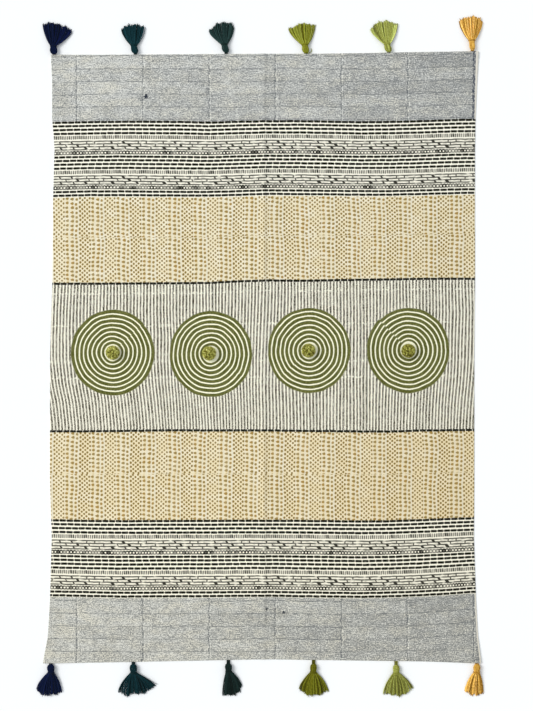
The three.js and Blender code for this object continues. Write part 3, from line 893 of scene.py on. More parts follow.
# Where the gold and striped bands lie, and how wide the bare selvedge beside the grey ends is. It
# grows wider from FAR_SELVEDGE_START to the far end, and ink has smudged on its inner edge.
GOLD_FAR = (222.0, 463.0)
GOLD_NEAR = (-466.0, -213.5)
STRIPED = (-208.0, 216.5)
BAND_EDGE = 0.8
SELVEDGE_WIDTH = 3.4
FAR_SELVEDGE_WIDTH = 6.5
FAR_SELVEDGE_START = 690.0
SMUDGE_WIDTH = 8.5
# Painted shade along the fold: a dark line on it, and a fainter band to its right.
FOLD_SHADE_ACROSS = 6.0
FOLD_PAINTED_SHADE = 0.15
BESIDE_FOLD_PAINTED_SHADE = 0.035
BLOTS = table(
    "across along radius cover",
    (-338, 751, 6.0, 0.98),
    (-351, 748, 10.0, 0.30),
    (9, -725, 3.4, 0.9),
    (58, -734, 3.6, 0.9),
)
HEM_STITCH_IN = 14.0
HEM_STITCH_PITCH = 6.0
HEM_STITCH_DEPTH = 1.6
WEAVE_DEPTH = 0.35 * MM
WEAVE_STRENGTH = 0.5
FACE_BRIGHTNESS = 0.955
BACK_BRIGHTNESS = 0.92
# Painted shade: the cloth is drawn darker towards its right side.
PAINTED_SHADE_TO_RIGHT = 0.00003


def map_place(tree, name):
    """A point's place on one of the cloth's maps, as two tones in millimetres."""
    place = add_node(tree, "ShaderNodeUVMap", {}, uv_map=name).outputs["UV"]
    split = add_node(tree, "ShaderNodeSeparateXYZ", {"Vector": place})
    return Tone(split.outputs["X"]) / MM, Tone(split.outputs["Y"]) / MM


def lay_colours(tree, colour, *layers, blend="MIX"):
    """Lays colours over one another in turn, each where its cover is 1."""
    for laid, cover in layers:
        inputs = {0: cover, 6: colour, 7: laid}
        mix = add_node(tree, "ShaderNodeMix", inputs, data_type="RGBA", blend_type=blend)
        colour = mix.outputs[2]
    return colour


def paint(tree, shader, colour, brightness):
    """Gives a shader a colour of varying brightness."""
    thread = add_node(tree, "ShaderNodeHueSaturation", {"Color": colour, "Value": brightness})
    feed(shader.inputs["Base Color"], thread.outputs["Color"])


def add_bump(tree, shader, height, depth, strength):
    inputs = {"Strength": strength, "Distance": depth, "Height": height}
    feed(shader.inputs["Normal"], add_node(tree, "ShaderNodeBump", inputs).outputs["Normal"])


def read_print(tree):
    """What every block printed at a point of the cloth, and which band the point lies in."""
    on = SimpleNamespace()
    on.across, on.along = map_place(tree, "Print")
    on.cloth_across, on.cloth_along = map_place(tree, "Cloth")
    on.line, down = stamp(LINEWORK, on.across, on.along)
    on.bold, on.dots, on.run, on.lanes = stamp(GOLD, on.across, on.along)
    on.disc, on.rings = stamp(DISCS, on.cloth_across, on.cloth_along)
    on.grey, on.grey_dark = stamp(GREY, on.across, on.along)
    on.height, on.slub = stamp(WEAVE, on.across, on.along)
    on.stripes = stamp(STRIPES, *map_place(tree, "Stripes"))[0]
    far_gold, near_gold = (inside(on.along, *band, BAND_EDGE) for band in (GOLD_FAR, GOLD_NEAR))
    on.in_gold = most(far_gold, near_gold)
    on.in_stripes = inside(on.along, *STRIPED, BAND_EDGE)
    on.in_grey = pick(over(on.along, 0.0), over(down, LINEWORK_LENGTH), over(-2.0, down))
    return on


def make_print_material():
    material, shader = plain_material("printed cotton", COTTON, 0.92)
    tree = material.node_tree
    on = read_print(tree)
    across, along = on.across, on.along
    cloth_across, cloth_along = on.cloth_across, on.cloth_along
    in_gold, in_stripes, in_grey = on.in_gold, on.in_stripes, on.in_grey

    near_share = 0.5 - cloth_along / RUG_LENGTH
    to_right = most(0.0, cloth_across) * (2 / RUG_WIDTH)
    from_right = RUG_WIDTH / 2 - cloth_across
    wider = fade(cloth_along, FAR_SELVEDGE_START, RUG_LENGTH / 2 + 0.5)
    bare = wider * (FAR_SELVEDGE_WIDTH - SELVEDGE_WIDTH) + SELVEDGE_WIDTH
    selvedge = within(from_right, bare, 1.2, 1.2) * in_grey
    from_smudge = abs(from_right - bare - SMUDGE_WIDTH / 2)
    smudge = within(from_smudge, SMUDGE_WIDTH / 2, 1, 1.5) * patches(across, along, 4, 9, 0.38, 0.60)
    smudge = smudge * in_grey * (1.0 - near_share * 0.75)
    gold_cover = patches(across, along, 38, 26, 0.30, 0.60) * 0.4 + 0.6
    bright = patches(across, along, 26, 18, 0.46, 0.66)
    disc_wear = patches(across, along, 3.0, 2.6, 0.32, 0.60)
    disc_cloud = patches(across, along, 30, 22, 0.35, 0.70)
    blots = 0.0
    for blot in BLOTS:
        away = distance(cloth_across - blot["across"], cloth_along - blot["along"])
        away = away + wander(across, along, 5, 4, 8.0)
        blots = within(away, blot["radius"], 0.8, 1.0) * blot["cover"] + blots

    colour = lay_colours(
        tree,
        COTTON,
        (GREY_GROUND, in_grey),
        (WARM_GREY, patches(across, along, 60, 24, 0.30, 0.80) * in_grey),
        (GOLD_GROUND, in_gold * gold_cover),
        (AGED_GOLD, in_gold * near_share * (to_right * 0.3 + 0.35)),
        (LANE_COTTON, on.lanes * in_gold * 0.55),
        (RUN_GOLD, on.run * in_gold * 0.35),
        (GREY_INK, on.grey * in_grey * (1.0 - selvedge)),
        (GREY_DARK_INK, on.grey_dark * in_grey * (1.0 - selvedge)),
        (GOLD_INK, on.bold * in_gold),
        (BRIGHT_GOLD_INK, on.bold * in_gold * bright * 0.5),
        (DOT_INK, on.dots * in_gold),
        (STRIPE_INK, on.stripes * in_stripes * (1.0 - on.disc)),
        (OLIVE_WASH, on.disc),
        (OLIVE_INK, on.disc * (disc_wear * 0.24 + disc_cloud * 0.06 + 0.70)),
        (RING_COTTON, on.rings * in_stripes),
        (BLACK_INK, on.line),
        (SELVEDGE_COTTON, selvedge),
        (SELVEDGE_INK, smudge * 0.92),
        (BLOT_INK, least(0.96, blots)),
    )
    colour = lay_colours(tree, colour, (AGED_COTTON, near_share), blend="MULTIPLY")

    # Painted shade along the fold: a dark line on it and a fainter band to its right, patchy along
    # them.
    from_fold = cloth_across - FOLD_SHADE_ACROSS
    darkening = fade(abs(from_fold), 6.5, 1.0) * FOLD_PAINTED_SHADE
    darkening = darkening + inside(from_fold, 4.0, 50.0, 12.0) * BESIDE_FOLD_PAINTED_SHADE
    darkening = darkening * (patches(across, along, 12, 40, 0.30, 0.60) * 0.5 + 0.5)
    # Painted shade: outside the grey ends the cloth grows darker towards its right side, more at the
    # near end.
    darkening = darkening + to_right * (near_share * 0.04 + 0.04) * (1.0 - in_grey)
    # The grey ends are also drawn darker near the rug's left side.
    darkening = darkening + fade(cloth_across, -540.0, -606.0) * in_grey * 0.07
    # Painted shade: the whole face is also drawn darker towards its right side.
    brightness = on.slub * 0.10 + FACE_BRIGHTNESS - cloth_across * PAINTED_SHADE_TO_RIGHT - darkening
    paint(tree, shader, colour, brightness)

    to_end = RUG_LENGTH / 2 - abs(cloth_along)
    _, from_stitch = repeat(cloth_across, HEM_STITCH_PITCH)
    stitch_row = fade(abs(to_end - HEM_STITCH_IN), 1.4, 0.2) * fade(abs(from_stitch), 3.0, 1.6)
    height = on.height - stitch_row * HEM_STITCH_DEPTH
    add_bump(tree, shader, height, WEAVE_DEPTH, WEAVE_STRENGTH)
    return material


def make_back_material():
    """The cloth's back: bare cotton that the inks have struck through a little."""
    material, shader = plain_material("cotton back", COTTON, 0.95)
    tree = material.node_tree
    on = read_print(tree)
    soak = mottle(on.across, on.along, 9, 5, 2.0) * 0.9 + 0.1
    dark = most(on.line * 0.55, most(on.grey * on.in_grey * 0.4, on.stripes * on.in_stripes * 0.4))
    colour = lay_colours(
        tree,
        COTTON,
        (GOLD_INK, most(on.bold, on.dots) * on.in_gold * soak * 0.5),
        (STRIPE_INK, dark * (1.0 - on.disc) * soak),
        (OLIVE_INK, (on.disc - on.rings) * on.in_stripes * soak * 0.6),
    )
    paint(tree, shader, colour, on.slub * 0.12 + BACK_BRIGHTNESS)
    add_bump(tree, shader, on.height, WEAVE_DEPTH, WEAVE_STRENGTH)
    return material


rug, rug_shift_x, rug_shift_y = make_rug()
rug.data.materials.append(make_print_material())
rug.data.materials.append(make_back_material())
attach(rug, "root")
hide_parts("rug")


# ---------------------------------------------------------------------------------------------
# The tassels: six along each end, from navy on the left to mustard on the right. Each is a hank
# of cut cotton yarn, folded over its tie, wound round under the fold and trimmed. They lie as
# they fell, so every one fans out in its own way.
# ---------------------------------------------------------------------------------------------
HEAD_HEIGHT = 17
NECK_WIDTH = 17
NECK_HEIGHT = 12.4
TASSEL_AXIS_HEIGHT = 8.2
BINDING_LENGTH = 5
PIECE_GAP = 0.3
YARN_WIDTH = 1.65
YARN_SIDES = 5
YARN_WAVE = 1.5
YARN_WAVE_LENGTH = 11
YARN_ROUGHNESS = 0.95
YARN_SPECULAR = 0.15
YARN_SHEEN = 0.05
YARN_SHEEN_ROUGHNESS = 0.5
FUZZ_DEPTH = 0.4 * MM
FUZZ_STRENGTH = 0.6
HEAD_YARNS = 36
HEAD_YARN_FULLNESS = 1.2
HEAD_NEARER_HEM = 1.6
HEAD_STEPS = np.linspace(0, 1.3, 10)
UNDER_YARNS = 90
UPPER_YARNS = 110
UNDER_LAYERS = 0.4
SKIRT_STEPS = 11
TIP_FULLNESS = 0.28
LOCK_BEND_OUT = 0.38
LOCK_BEND_ASIDE = 0.82
TURN_SPREAD = 1.8
REACH_SPREAD = 2.0
SHORT_YARN_SPREAD = 3.0
DIP_BETWEEN_TUFTS = 0.05
TUFT_PULL = 1.5
STRAND_YARNS = 3
STRAND_SHADES = (0.4, 0.8, 1.05, 1.3, 1.6)
PILE_HEIGHT = 6.2
BINDING_TURNS = 2.8
BINDING_YARN_WIDTH = 1.5
BINDING_STEPS = 45
BINDING_SHADE = 0.7
TIE_YARNS = 7
TIE_WIDTHS = (10.0, 8.4)
TIE_REACH_IN = 1.6
FIRST_SEED = 300

# The head's outline from its tie, at 0, to its neck, at 1, as shares of its full width and height.
# lowering is how far its middle sinks towards the hem.
HEAD_PROFILE = table(
    "along fullness lowering",
    (0, 0.42, 2.6),
    (0.12, 0.80, 0.8),
    (0.42, 1, 0),
    (0.78, 0.92, 0),
)

# sewn_at is where the tie meets the hem, across the rug. aside and neck_out place the neck from
# there, and head and wide are the head's length and width. tone is how bright its yarns are drawn:
# partly the yarn's own paleness and partly painted shade, as the near end's tassels are drawn darker
# than the far end's. turns and reaches give the tufts: the angle of each from straight out, in degrees
# and positive towards the right, and its length from the neck.
TASSELS = table(
    "end colour sewn_at aside neck_out head wide tone turns reaches",
    ("far", "navy", -602, -1, 24, 21, 22, 0.5, (-26, -12, -3, 14, 32, 49), (69, 71, 68, 66, 67, 69)),
    ("far", "teal", -368, -4, 25, 21, 21, 0.68, (-37, -26, -14, 6, 28), (60, 60, 61, 62, 62)),
    ("far", "green", -107, -5, 26, 21, 21, 0.8, (-48, -28, -20, -2, 18, 26), (62, 61, 66, 65, 66, 59)),
    ("far", "olive", 122, -3, 24, 21, 21, 0.84, (-43, -30, -16, -3, 11, 25), (68, 60, 64, 64, 62, 65)),
    ("far", "lime", 360, -5, 23, 20, 21, 0.84, (-48, -31, -19, -1, 10, 26), (64, 68, 69, 70, 66, 65)),
    ("far", "mustard", 600, -2, 30, 26, 17, 0.82, (-31, -17, 4, 19, 28), (68, 69, 71, 69, 63)),
    ("near", "navy", -611, 1, 26, 21, 22, 0.48, (-38, -24, -7, 11, 26), (66, 71, 67, 66, 63)),
    (
        "near", "teal", -374, 1, 30, 22, 22, 0.48,
        (-38, -15, -2, 13, 27, 45, 59), (74, 72, 59, 64, 69, 69, 74),
    ),
    ("near", "green", -101, 1, 32, 21, 21, 0.42, (-14, 6, 15, 26, 40), (72, 69, 69, 67, 54)),
    ("near", "olive", 144, -1, 34, 22, 20, 0.41, (-39, -14, -3, 15, 37), (65, 69, 68, 69, 69)),
    ("near", "lime", 381, 0, 33, 21, 20, 0.62, (-30, -9, 10, 25, 47), (71, 65, 67, 67, 67)),
    ("near", "mustard", 613, -1, 25, 21, 21, 0.74, (-29, -15, 2, 13, 18), (63, 68, 68, 64, 60)),
)

# A thread end that was left long beside a tie, as points across, out from the hem and up.
LOOSE_ENDS = {("far", "olive"): ((3, -1, 5.5), (9, 2, 4.2), (15, 5, 2), (17, 10, 1.2), (16, 15, 1))}

YARN_COLOURS = {
    "navy": display_colour(6, 20, 80),
    "teal": display_colour(14, 62, 72),
    "green": display_colour(34, 62, 60),
    "olive": display_colour(160, 166, 46),
    "lime": display_colour(190, 198, 96),
    "mustard": display_colour(246, 196, 82),
}


def draw_yarn(x, y, z, clump_size):
    """The fuzz of a cotton yarn and the clumps it lies in, from its place in millimetres."""
    fuzz = mottle(x + z * 0.7, y + z, 1.1, 1.1, 2.0)
    clump = mottle((x + z) / clump_size, (y - z) / clump_size, 1, 1)
    return [fuzz, clump]


YARN_FUZZ = block("yarn fuzz", ("X", "Y", "Z", "Clump size"), ("Fuzz", "Clump"), draw_yarn)


def make_yarn_material(name, colour, clump_size, clumping):
    material, shader = plain_material(name, colour, YARN_ROUGHNESS, YARN_SPECULAR)
    shader.inputs["Sheen Weight"].default_value = YARN_SHEEN
    shader.inputs["Sheen Roughness"].default_value = YARN_SHEEN_ROUGHNESS
    tree = material.node_tree
    place = add_node(tree, "ShaderNodeTexCoord", {}).outputs["Object"]
    split = add_node(tree, "ShaderNodeSeparateXYZ", {"Vector": place})
    axes = [Tone(split.outputs[axis]) / MM for axis in "XYZ"]
    fuzz, clump = stamp(YARN_FUZZ, *axes, clump_size)
    shade = add_node(tree, "ShaderNodeAttribute", {}, attribute_name="shade")
    # The shade attribute brings each yarn's brightness: its own random tone, and the painted shade of
    # the near tassels, the tassels' under layer and the pompoms' middles. Darker yarns also turn a
    # little in hue.
    brightness = Tone(shade.outputs["Fac"]) * (fuzz * 0.5 + 0.75)
    brightness = brightness * ((clump - 0.5) * clumping + 1.0)
    tint_and_shade = {
        "Color": colour,
        "Hue": least(1.0, brightness) * 0.03 + 0.47,
        "Value": brightness,
        "Saturation": 1.12 - brightness * 0.16,
    }
    coloured = add_node(tree, "ShaderNodeHueSaturation", tint_and_shade)
    feed(shader.inputs["Base Color"], coloured.outputs["Color"])
    add_bump(tree, shader, fuzz, FUZZ_DEPTH, FUZZ_STRENGTH)
    return material


class GrowingTree:
    """A Geometry Nodes tree for grow, while its nodes are being added."""

    def __init__(self, name, inputs, output):
        self.tree, self.given = new_tree(name, "GeometryNodeTree", inputs, {output: "Geometry"})
        self.output = output

    def add(self, kind, inputs, output=0, **choices):
        """Adds a node and returns one of its sockets."""
        return add_node(self.tree, kind, inputs, **choices).outputs[output]

    def work(self, operation, first, second):
        return self.add("ShaderNodeMath", {0: first, 1: second}, operation=operation)

    def end_with(self, grown, material):
        plain = self.add("GeometryNodeRealizeInstances", {"Geometry": grown})
        coloured = self.add("GeometryNodeSetMaterial", {"Geometry": plain, "Material": material})
        add_node(self.tree, "NodeGroupOutput", {self.output: coloured})
        return self.tree


def make_yarn_tree():
    """Geometry Nodes that turn drawn lines into yarns, a little wavy where they hang loose."""
    inputs = {
        "Lines": "Geometry",
        "Yarn width": "Float",
        "Sides": "Int",
        "Waviness": "Float",
        "Wave length": "Float",
        "Seed": "Int",
        "Yarn": "Material",
    }
    growing = GrowingTree("yarns along lines", inputs, "Yarns")
    given, add, work = growing.given, growing.add, growing.work

    def read(name):
        return add("GeometryNodeInputNamedAttribute", {"Name": name}, data_type="FLOAT")

    curves = add("GeometryNodeMeshToCurve", {"Mesh": given["Lines"]})
    curves = add("GeometryNodeSetCurveRadius", {"Curve": curves, "Radius": read("fullness")})

    scale = work("DIVIDE", 1.0, given["Wave length"])
    noise = {"Scale": scale, "W": given["Seed"], "Detail": 1.0}
    noise = add("ShaderNodeTexNoise", noise, "Color", noise_dimensions="4D")
    centred = {0: noise, 1: (0.5, 0.5, 0.5)}
    centred = add("ShaderNodeVectorMath", centred, operation="SUBTRACT")
    level = {0: centred, 1: (2.0, 2.0, 0.4)}
    level = add("ShaderNodeVectorMath", level, operation="MULTIPLY")
    slack = work("MULTIPLY", read("slack"), given["Waviness"])
    offset = add("ShaderNodeVectorMath", {0: level, "Scale": slack}, operation="SCALE")
    waved = add("GeometryNodeSetPosition", {"Geometry": curves, "Offset": offset})

    half = work("MULTIPLY", given["Yarn width"], 0.5)
    circle = {"Resolution": given["Sides"], "Radius": half}
    circle = add("GeometryNodeCurvePrimitiveCircle", circle)
    swept = {"Curve": waved, "Profile Curve": circle, "Fill Caps": True}
    swept = add("GeometryNodeCurveToMesh", swept)
    smooth = add("GeometryNodeSetShadeSmooth", {"Geometry": swept})
    return growing.end_with(smooth, given["Yarn"])


YARN_TREE = make_yarn_tree()


def grow(name, seed_mesh, tree, settings):
    """Runs a Geometry Nodes tree on a mesh, and returns what it makes as a plain mesh object."""
    source = put_in_scene(name + "_lines", seed_mesh)
    modifier = source.modifiers.new("grow", "NODES")
    modifier.node_group = tree
    for item in tree.interface.items_tree:
        if item.item_type == "SOCKET" and item.name in settings:
            modifier[item.identifier] = settings[item.name]
    depsgraph = bpy.context.evaluated_depsgraph_get()
    mesh = bpy.data.meshes.new_from_object(source.evaluated_get(depsgraph))
    mesh.name = name
    bpy.data.objects.remove(source)
    bpy.data.meshes.remove(seed_mesh)
    return put_in_scene(name, mesh)


def line_mesh(lines):
    """A mesh of open lines. Each line has its points in millimetres, its shade, and for each of
    its points how full the yarn is and how loosely it hangs."""
    mesh = bpy.data.meshes.new("lines")
    points = np.concatenate([line["points"] for line in lines])
    edges = []
    start = 0
    for line in lines:
        count = len(line["points"])
        edges += [(start + step, start + step + 1) for step in range(count - 1)]
        start += count
    mesh.from_pydata((points * MM).tolist(), edges, [])
    for label in ("fullness", "slack", "shade"):
        values = [np.broadcast_to(line[label], len(line["points"])) for line in lines]
        layer = mesh.attributes.new(label, "FLOAT", "POINT")
        layer.data.foreach_set("value", np.concatenate(values).astype(np.float32))
    return mesh


def yarn_line(points, shade, fullness=1.0, slack=0.0):
    return {"points": np.array(points, float), "shade": shade, "fullness": fullness, "slack": slack}


def hem_place(end, across):
    """Where the outer face of a hem lies, in the rug's own frame."""
    sample = np.linspace(-RUG_WIDTH / 2, RUG_WIDTH / 2, 400)
    edge_x, edge_y = lay_out(sample, np.full_like(sample, end * RUG_LENGTH / 2))
    return np.interp(across, edge_x, edge_y)


def head_lines(row, rng):
    """The folded yarns that show on the head, from the tie to the neck."""
    start = row["neck_out"] - row["head"] - HEAD_NEARER_HEM
    length = row["head"] + HEAD_NEARER_HEM - BINDING_LENGTH / 2
    places = [part["along"] for part in HEAD_PROFILE] + [1.0]
    wide = [part["fullness"] * row["wide"] for part in HEAD_PROFILE] + [NECK_WIDTH]
    high = [part["fullness"] * HEAD_HEIGHT for part in HEAD_PROFILE] + [NECK_HEIGHT]
    low = [part["lowering"] for part in HEAD_PROFILE] + [0]
    width, height, lowering = (np.interp(HEAD_STEPS, places, shape) for shape in (wide, high, low))
    lines = []
    for yarn in range(HEAD_YARNS):
        angle = 2 * math.pi * (yarn + rng.uniform(-0.2, 0.2)) / HEAD_YARNS
        x = row["aside"] * HEAD_STEPS + math.sin(angle) * (width - YARN_WIDTH) / 2
        y = start + HEAD_STEPS * length
        z = TASSEL_AXIS_HEIGHT - lowering + math.cos(angle) * (height - YARN_WIDTH) / 2
        points = np.stack([x, y, np.maximum(YARN_WIDTH / 2, z)], axis=1)
        lines.append(yarn_line(points, row["tone"] * rng.uniform(0.55, 1.35), HEAD_YARN_FULLNESS))
    return lines


def skirt_line(row, share, layer, pull, shade, rng):
    """One cut yarn. share is its place across the neck, from 0 at the left, and layer is how high
    it lies in the pile."""
    tufts = np.arange(len(row["turns"]))
    place = share * tufts[-1]
    tuft = round(place)
    off = place - tuft
    gathered = tuft + math.copysign(abs(2 * off) ** pull / 2, off)
    angle = math.radians(np.interp(gathered, tufts, row["turns"]) + rng.normal(0, TURN_SPREAD))
    dip = 1 - DIP_BETWEEN_TUFTS * abs(math.sin(place * math.pi))
    reach = np.interp(gathered, tufts, row["reaches"]) * dip + rng.normal(0, REACH_SPREAD)
    reach -= max(0.0, rng.normal(0, SHORT_YARN_SPREAD) - SHORT_YARN_SPREAD)
    rim = math.sqrt(max(0.0, 1 - (2 * share - 1) ** 2))
    root_x = row["aside"] + (2 * share - 1) * (NECK_WIDTH / 2 - 1.2)
    root_z = TASSEL_AXIS_HEIGHT + (2 * layer - 1) * rim * (NECK_HEIGHT / 2 - 1.0)
    tip_x = row["aside"] + math.sin(angle) * reach
    tip_z = YARN_WIDTH * 0.62 + layer**1.2 * PILE_HEIGHT * (0.45 + 0.55 * rim)
    bend_x = root_x + (tip_x - root_x) * LOCK_BEND_ASIDE
    bend_z = tip_z + 0.25 * (root_z - tip_z)
    root = np.array([root_x, row["neck_out"] - 1.5, root_z])
    bend = np.array([bend_x, row["neck_out"] + LOCK_BEND_OUT * reach, bend_z])
    tip = np.array([tip_x, row["neck_out"] + math.cos(angle) * reach, tip_z])
    steps = np.linspace(0, 1, SKIRT_STEPS)[:, None]
    points = root * (1 - steps) ** 2 + bend * 2 * steps * (1 - steps) + tip * steps**2
    slack = np.linspace(0, 1, SKIRT_STEPS) ** 0.8
    fullness = 1 + TIP_FULLNESS * np.clip(slack * 4 - 3, 0, 1)
    return yarn_line(points, shade * row["tone"], fullness, slack)


def skirt_lines(row, rng):
    """The cut yarns from the neck to their tips: an even layer against the floor, and more on top
    that are gathered into tufts."""
    lines = []
    # The under layer is drawn darker than the upper yarns: painted shade in the gaps between the
    # tufts.
    for yarn in range(UNDER_YARNS):
        share = (yarn + rng.uniform(0.3, 0.7)) / UNDER_YARNS
        layer = rng.uniform(0, UNDER_LAYERS)
        lines.append(skirt_line(row, share, layer, 1.0, rng.uniform(0.25, 0.75), rng))
    layers = UNDER_LAYERS + (1 - UNDER_LAYERS) * rng.permutation(UPPER_YARNS) / UPPER_YARNS
    strand_shades = rng.choice(STRAND_SHADES, UPPER_YARNS // STRAND_YARNS + 1)
    for yarn in range(UPPER_YARNS):
        share = (yarn + rng.uniform(0.1, 0.9)) / UPPER_YARNS
        shade = strand_shades[yarn // STRAND_YARNS] * rng.uniform(0.85, 1.15)
        lines.append(skirt_line(row, share, layers[yarn], TUFT_PULL, shade, rng))
    return lines


def binding_lines(row):
    """The yarn wound round the neck."""
    around_neck = PIECE_GAP + BINDING_YARN_WIDTH / 2
    share = np.arange(BINDING_STEPS + 1) / BINDING_STEPS
    angle = share * BINDING_TURNS * 2 * math.pi + math.pi
    x = row["aside"] + np.sin(angle) * (NECK_WIDTH / 2 + around_neck)
    y = row["neck_out"] + (share - 0.5) * (BINDING_LENGTH - BINDING_YARN_WIDTH)
    z = TASSEL_AXIS_HEIGHT + np.cos(angle) * (NECK_HEIGHT / 2 + around_neck)
    return [yarn_line(np.stack([x, y, z], axis=1), row["tone"] * BINDING_SHADE)]


def tie_lines(row, end, rng):
    """The sewing yarns between the hem and the head."""
    hem_middle = lift_at(row["sewn_at"], end * RUG_LENGTH / 2) + HEM_THICKNESS / 2
    head_start = row["neck_out"] - row["head"] + TIE_REACH_IN
    head_middle = TASSEL_AXIS_HEIGHT - HEAD_PROFILE[0]["lowering"]
    lines = []
    for yarn in range(TIE_YARNS):
        side = yarn / (TIE_YARNS - 1) * 2 - 1
        up = (-1) ** yarn * 0.7
        points = [
            (side * TIE_WIDTHS[0] / 2, -TIE_REACH_IN, hem_middle + up * 0.8),
            (side * TIE_WIDTHS[0] / 2.3, 0.6, hem_middle + up),
            (side * TIE_WIDTHS[1] / 2, head_start, head_middle + up),
        ]
        lines.append(yarn_line(points, row["tone"] * rng.uniform(0.5, 0.9)))
    loose_end = LOOSE_ENDS.get((row["end"], row["colour"]))
    if loose_end:
        lines.append(yarn_line(loose_end, 0.8))
    return lines


def set_in_place(lines, row, end):
    """Moves lines drawn outwards from the hem to the tassel's place on the rug."""
    hem = hem_place(end, row["sewn_at"])
    for line in lines:
        points = line["points"]
        points[:, 0] += row["sewn_at"] + rug_shift_x
        points[:, 1] = hem + end * points[:, 1] + rug_shift_y
    return lines


def add_tassel(row, number, material):
    end = 1 if row["end"] == "far" else -1
    rng = np.random.default_rng(FIRST_SEED + number)
    parts = {
        "tassel": (head_lines(row, rng) + skirt_lines(row, rng), YARN_WIDTH, YARN_WAVE),
        "binding": (binding_lines(row), BINDING_YARN_WIDTH, 0),
        "tie": (tie_lines(row, end, rng), YARN_WIDTH, 0),
    }
    made = []
    for part, (lines, width, waviness) in parts.items():
        settings = {
            "Yarn width": width * MM,
            "Sides": YARN_SIDES,
            "Waviness": waviness * MM,
            "Wave length": YARN_WAVE_LENGTH * MM,
            "Seed": number,
            "Yarn": material,
        }
        node = f"{part}_{row['end']}_{row['colour']}"
        piece = grow(node + "_yarn", line_mesh(set_in_place(lines, row, end)), YARN_TREE, settings)
        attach(piece, "root")
        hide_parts(node)
        made.append(piece)
    return made


YARN_MATERIALS = {
    colour: make_yarn_material(colour + " cotton yarn", value, 4.0, 1.0)
    for colour, value in YARN_COLOURS.items()
}
sewn_on = []
for tassel_number, tassel_row in enumerate(TASSELS):
    sewn_on += add_tassel(tassel_row, tassel_number, YARN_MATERIALS[tassel_row["colour"]])


# ---------------------------------------------------------------------------------------------
# The pompoms: one sewn on at the middle of each disc. Each is a ball of nearly four hundred cut
# yarns, tied at its middle and trimmed round, and flattened where it sits on the cloth.
# ---------------------------------------------------------------------------------------------
# tone darkens the pompoms towards the rug's right side: painted shade, as on the cloth.
POMPOMS = table(
    "across along tone",
    (-432, 14, 1.0),
    (-156, 12, 1.0),
    (129, 20, 0.88),
    (415, 19, 0.7),
)
POMPOM_RADIUS = 20.5
POMPOM_MIDDLE = 10
POMPOM_ROOT_RADIUS = 11.5
POMPOM_LOWEST = -24
POMPOM_BANDS = 9
POMPOM_SEGMENTS = 18
POMPOM_TUFT_DENSITY = 330000
POMPOM_TUFT_WIDTH = 3.0
POMPOM_TUFT_SIDES = 6
POMPOM_TUFT_ROOT = 0.28
POMPOM_TUFT_TILT = 0.26
POMPOM_TUFT_SIZES = ((0.75, 0.75, 0.92), (1.15, 1.15, 1.06))
POMPOM_SHADES = (0.32, 1.68)
# The packed middle is drawn darker than the tufts: painted shade deep in the ball.
POMPOM_MIDDLE_PAINTED_SHADE = 0.4
POMPOM_COLOUR = display_colour(184, 183, 76)
POMPOM_FIRST_SEED = 40
FACES_DOWN = -0.9
FULL_TURN = 6.28


def dome_mesh(radius):
    """The ball's packed middle, closed underneath, about its own centre."""
    bands = np.arange(POMPOM_BANDS)[:, None] / POMPOM_BANDS
    rise = np.radians(POMPOM_LOWEST + (90 - POMPOM_LOWEST) * bands)
    around = 2 * math.pi * np.arange(POMPOM_SEGMENTS) / POMPOM_SEGMENTS
    flat = np.cos(rise) * radius
    rings = np.broadcast_arrays(flat * np.cos(around), flat * np.sin(around), np.sin(rise) * radius)
    points = np.stack(rings, axis=-1).reshape(-1, 3).tolist() + [(0, 0, radius)]

    ring = np.arange(POMPOM_BANDS * POMPOM_SEGMENTS).reshape(POMPOM_BANDS, POMPOM_SEGMENTS)
    beside = np.roll(ring, -1, axis=1)
    walls = np.stack([ring[:-1], beside[:-1], beside[1:], ring[1:]], axis=-1)
    faces = walls.reshape(-1, 4).tolist()
    faces += [(first, second, ring.size) for first, second in zip(ring[-1], beside[-1])]
    faces += [ring[0][::-1].tolist()]
    mesh = bpy.data.meshes.new("pompom_middle")
    mesh.from_pydata(points, [], faces)
    return mesh


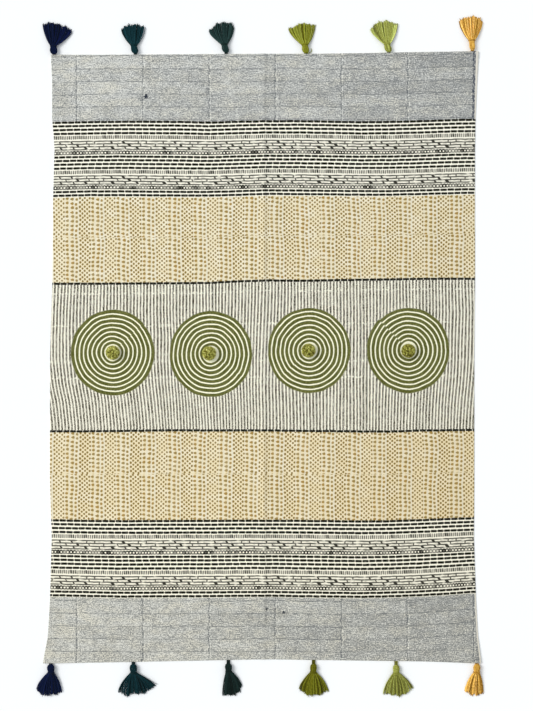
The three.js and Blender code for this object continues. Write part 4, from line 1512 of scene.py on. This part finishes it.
def make_pompom_tree():
    """Geometry Nodes that stand cut yarns out of a ball's packed middle."""
    inputs = {
        "Middle": "Geometry",
        "Density": "Float",
        "Tuft width": "Float",
        "Tuft length": "Float",
        "Seed": "Int",
        "Place": "Vector",
        "Darkest": "Float",
        "Palest": "Float",
        "Middle painted shade": "Float",
        "Yarn": "Material",
    }
    growing = GrowingTree("cut yarns on a ball", inputs, "Pompom")
    given, add, work = growing.given, growing.add, growing.work

    def random_vector(low, high):
        inputs = {"Min": low, "Max": high, "Seed": given["Seed"]}
        return add("FunctionNodeRandomValue", inputs, data_type="FLOAT_VECTOR")

    def store_shade(pieces, shade, domain):
        kind = "GeometryNodeStoreNamedAttribute"
        inputs = {"Geometry": pieces, "Name": "shade", "Value": shade}
        return add(kind, inputs, data_type="FLOAT", domain=domain)

    facing = add("ShaderNodeSeparateXYZ", {"Vector": add("GeometryNodeInputNormal", {})}, "Z")
    roots = {
        "Mesh": given["Middle"],
        "Selection": work("GREATER_THAN", facing, FACES_DOWN),
        "Density": given["Density"],
        "Seed": given["Seed"],
    }
    roots = add("GeometryNodeDistributePointsOnFaces", roots, "Points")
    tuft = {
        "Vertices": POMPOM_TUFT_SIDES,
        "Side Segments": 2,
        "Radius Top": work("MULTIPLY", given["Tuft width"], 0.5),
        "Radius Bottom": work("MULTIPLY", given["Tuft width"], POMPOM_TUFT_ROOT),
        "Depth": given["Tuft length"],
    }
    least_tilt = (-POMPOM_TUFT_TILT, -POMPOM_TUFT_TILT, 0.0)
    tilt = random_vector(least_tilt, (POMPOM_TUFT_TILT, POMPOM_TUFT_TILT, FULL_TURN))
    turned = {"Rotation": roots.node.outputs["Rotation"], "Rotate By": tilt}
    tufts = {
        "Points": roots,
        "Instance": add("GeometryNodeMeshCone", tuft),
        "Rotation": add("FunctionNodeRotateRotation", turned, rotation_space="LOCAL"),
        "Scale": random_vector(*POMPOM_TUFT_SIZES),
    }
    tufts = add("GeometryNodeInstanceOnPoints", tufts)
    shade = {2: given["Darkest"], 3: given["Palest"], "Seed": given["Seed"]}
    shade = add("FunctionNodeRandomValue", shade, 1, data_type="FLOAT")
    tufts = store_shade(tufts, shade, "INSTANCE")
    # Painted shade: the packed middle is drawn dark.
    middle = store_shade(given["Middle"], given["Middle painted shade"], "POINT")

    joined = add("GeometryNodeJoinGeometry", {"Geometry": middle})
    feed(joined.node.inputs["Geometry"], tufts)
    placed = add("GeometryNodeTransform", {"Geometry": joined, "Translation": given["Place"]})
    return growing.end_with(placed, given["Yarn"])


def add_pompom(number, row, tree, material):
    foot = lift_at(row["across"], row["along"]) + CLOTH_THICKNESS + PIECE_GAP
    place = (row["across"] + rug_shift_x, row["along"] + rug_shift_y, foot + POMPOM_MIDDLE)
    settings = {
        "Density": POMPOM_TUFT_DENSITY,
        "Tuft width": POMPOM_TUFT_WIDTH * MM,
        "Tuft length": (POMPOM_RADIUS - POMPOM_ROOT_RADIUS) * MM,
        "Seed": POMPOM_FIRST_SEED + number,
        "Place": tuple(value * MM for value in place),
        "Darkest": POMPOM_SHADES[0] * row["tone"],
        "Palest": POMPOM_SHADES[1] * row["tone"],
        "Middle painted shade": POMPOM_MIDDLE_PAINTED_SHADE * row["tone"],
        "Yarn": material,
    }
    middle = dome_mesh(POMPOM_ROOT_RADIUS * MM)
    piece = grow(f"pompom_{number}_yarn", middle, tree, settings)
    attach(piece, "root")
    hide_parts(f"pompom_{number}")
    return piece


pompom_tree = make_pompom_tree()
pompom_material = make_yarn_material("pompom yarn", POMPOM_COLOUR, 4.4, 3.0)
for pompom_number, pompom_row in enumerate(POMPOMS, 1):
    sewn_on.append(add_pompom(pompom_number, pompom_row, pompom_tree, pompom_material))
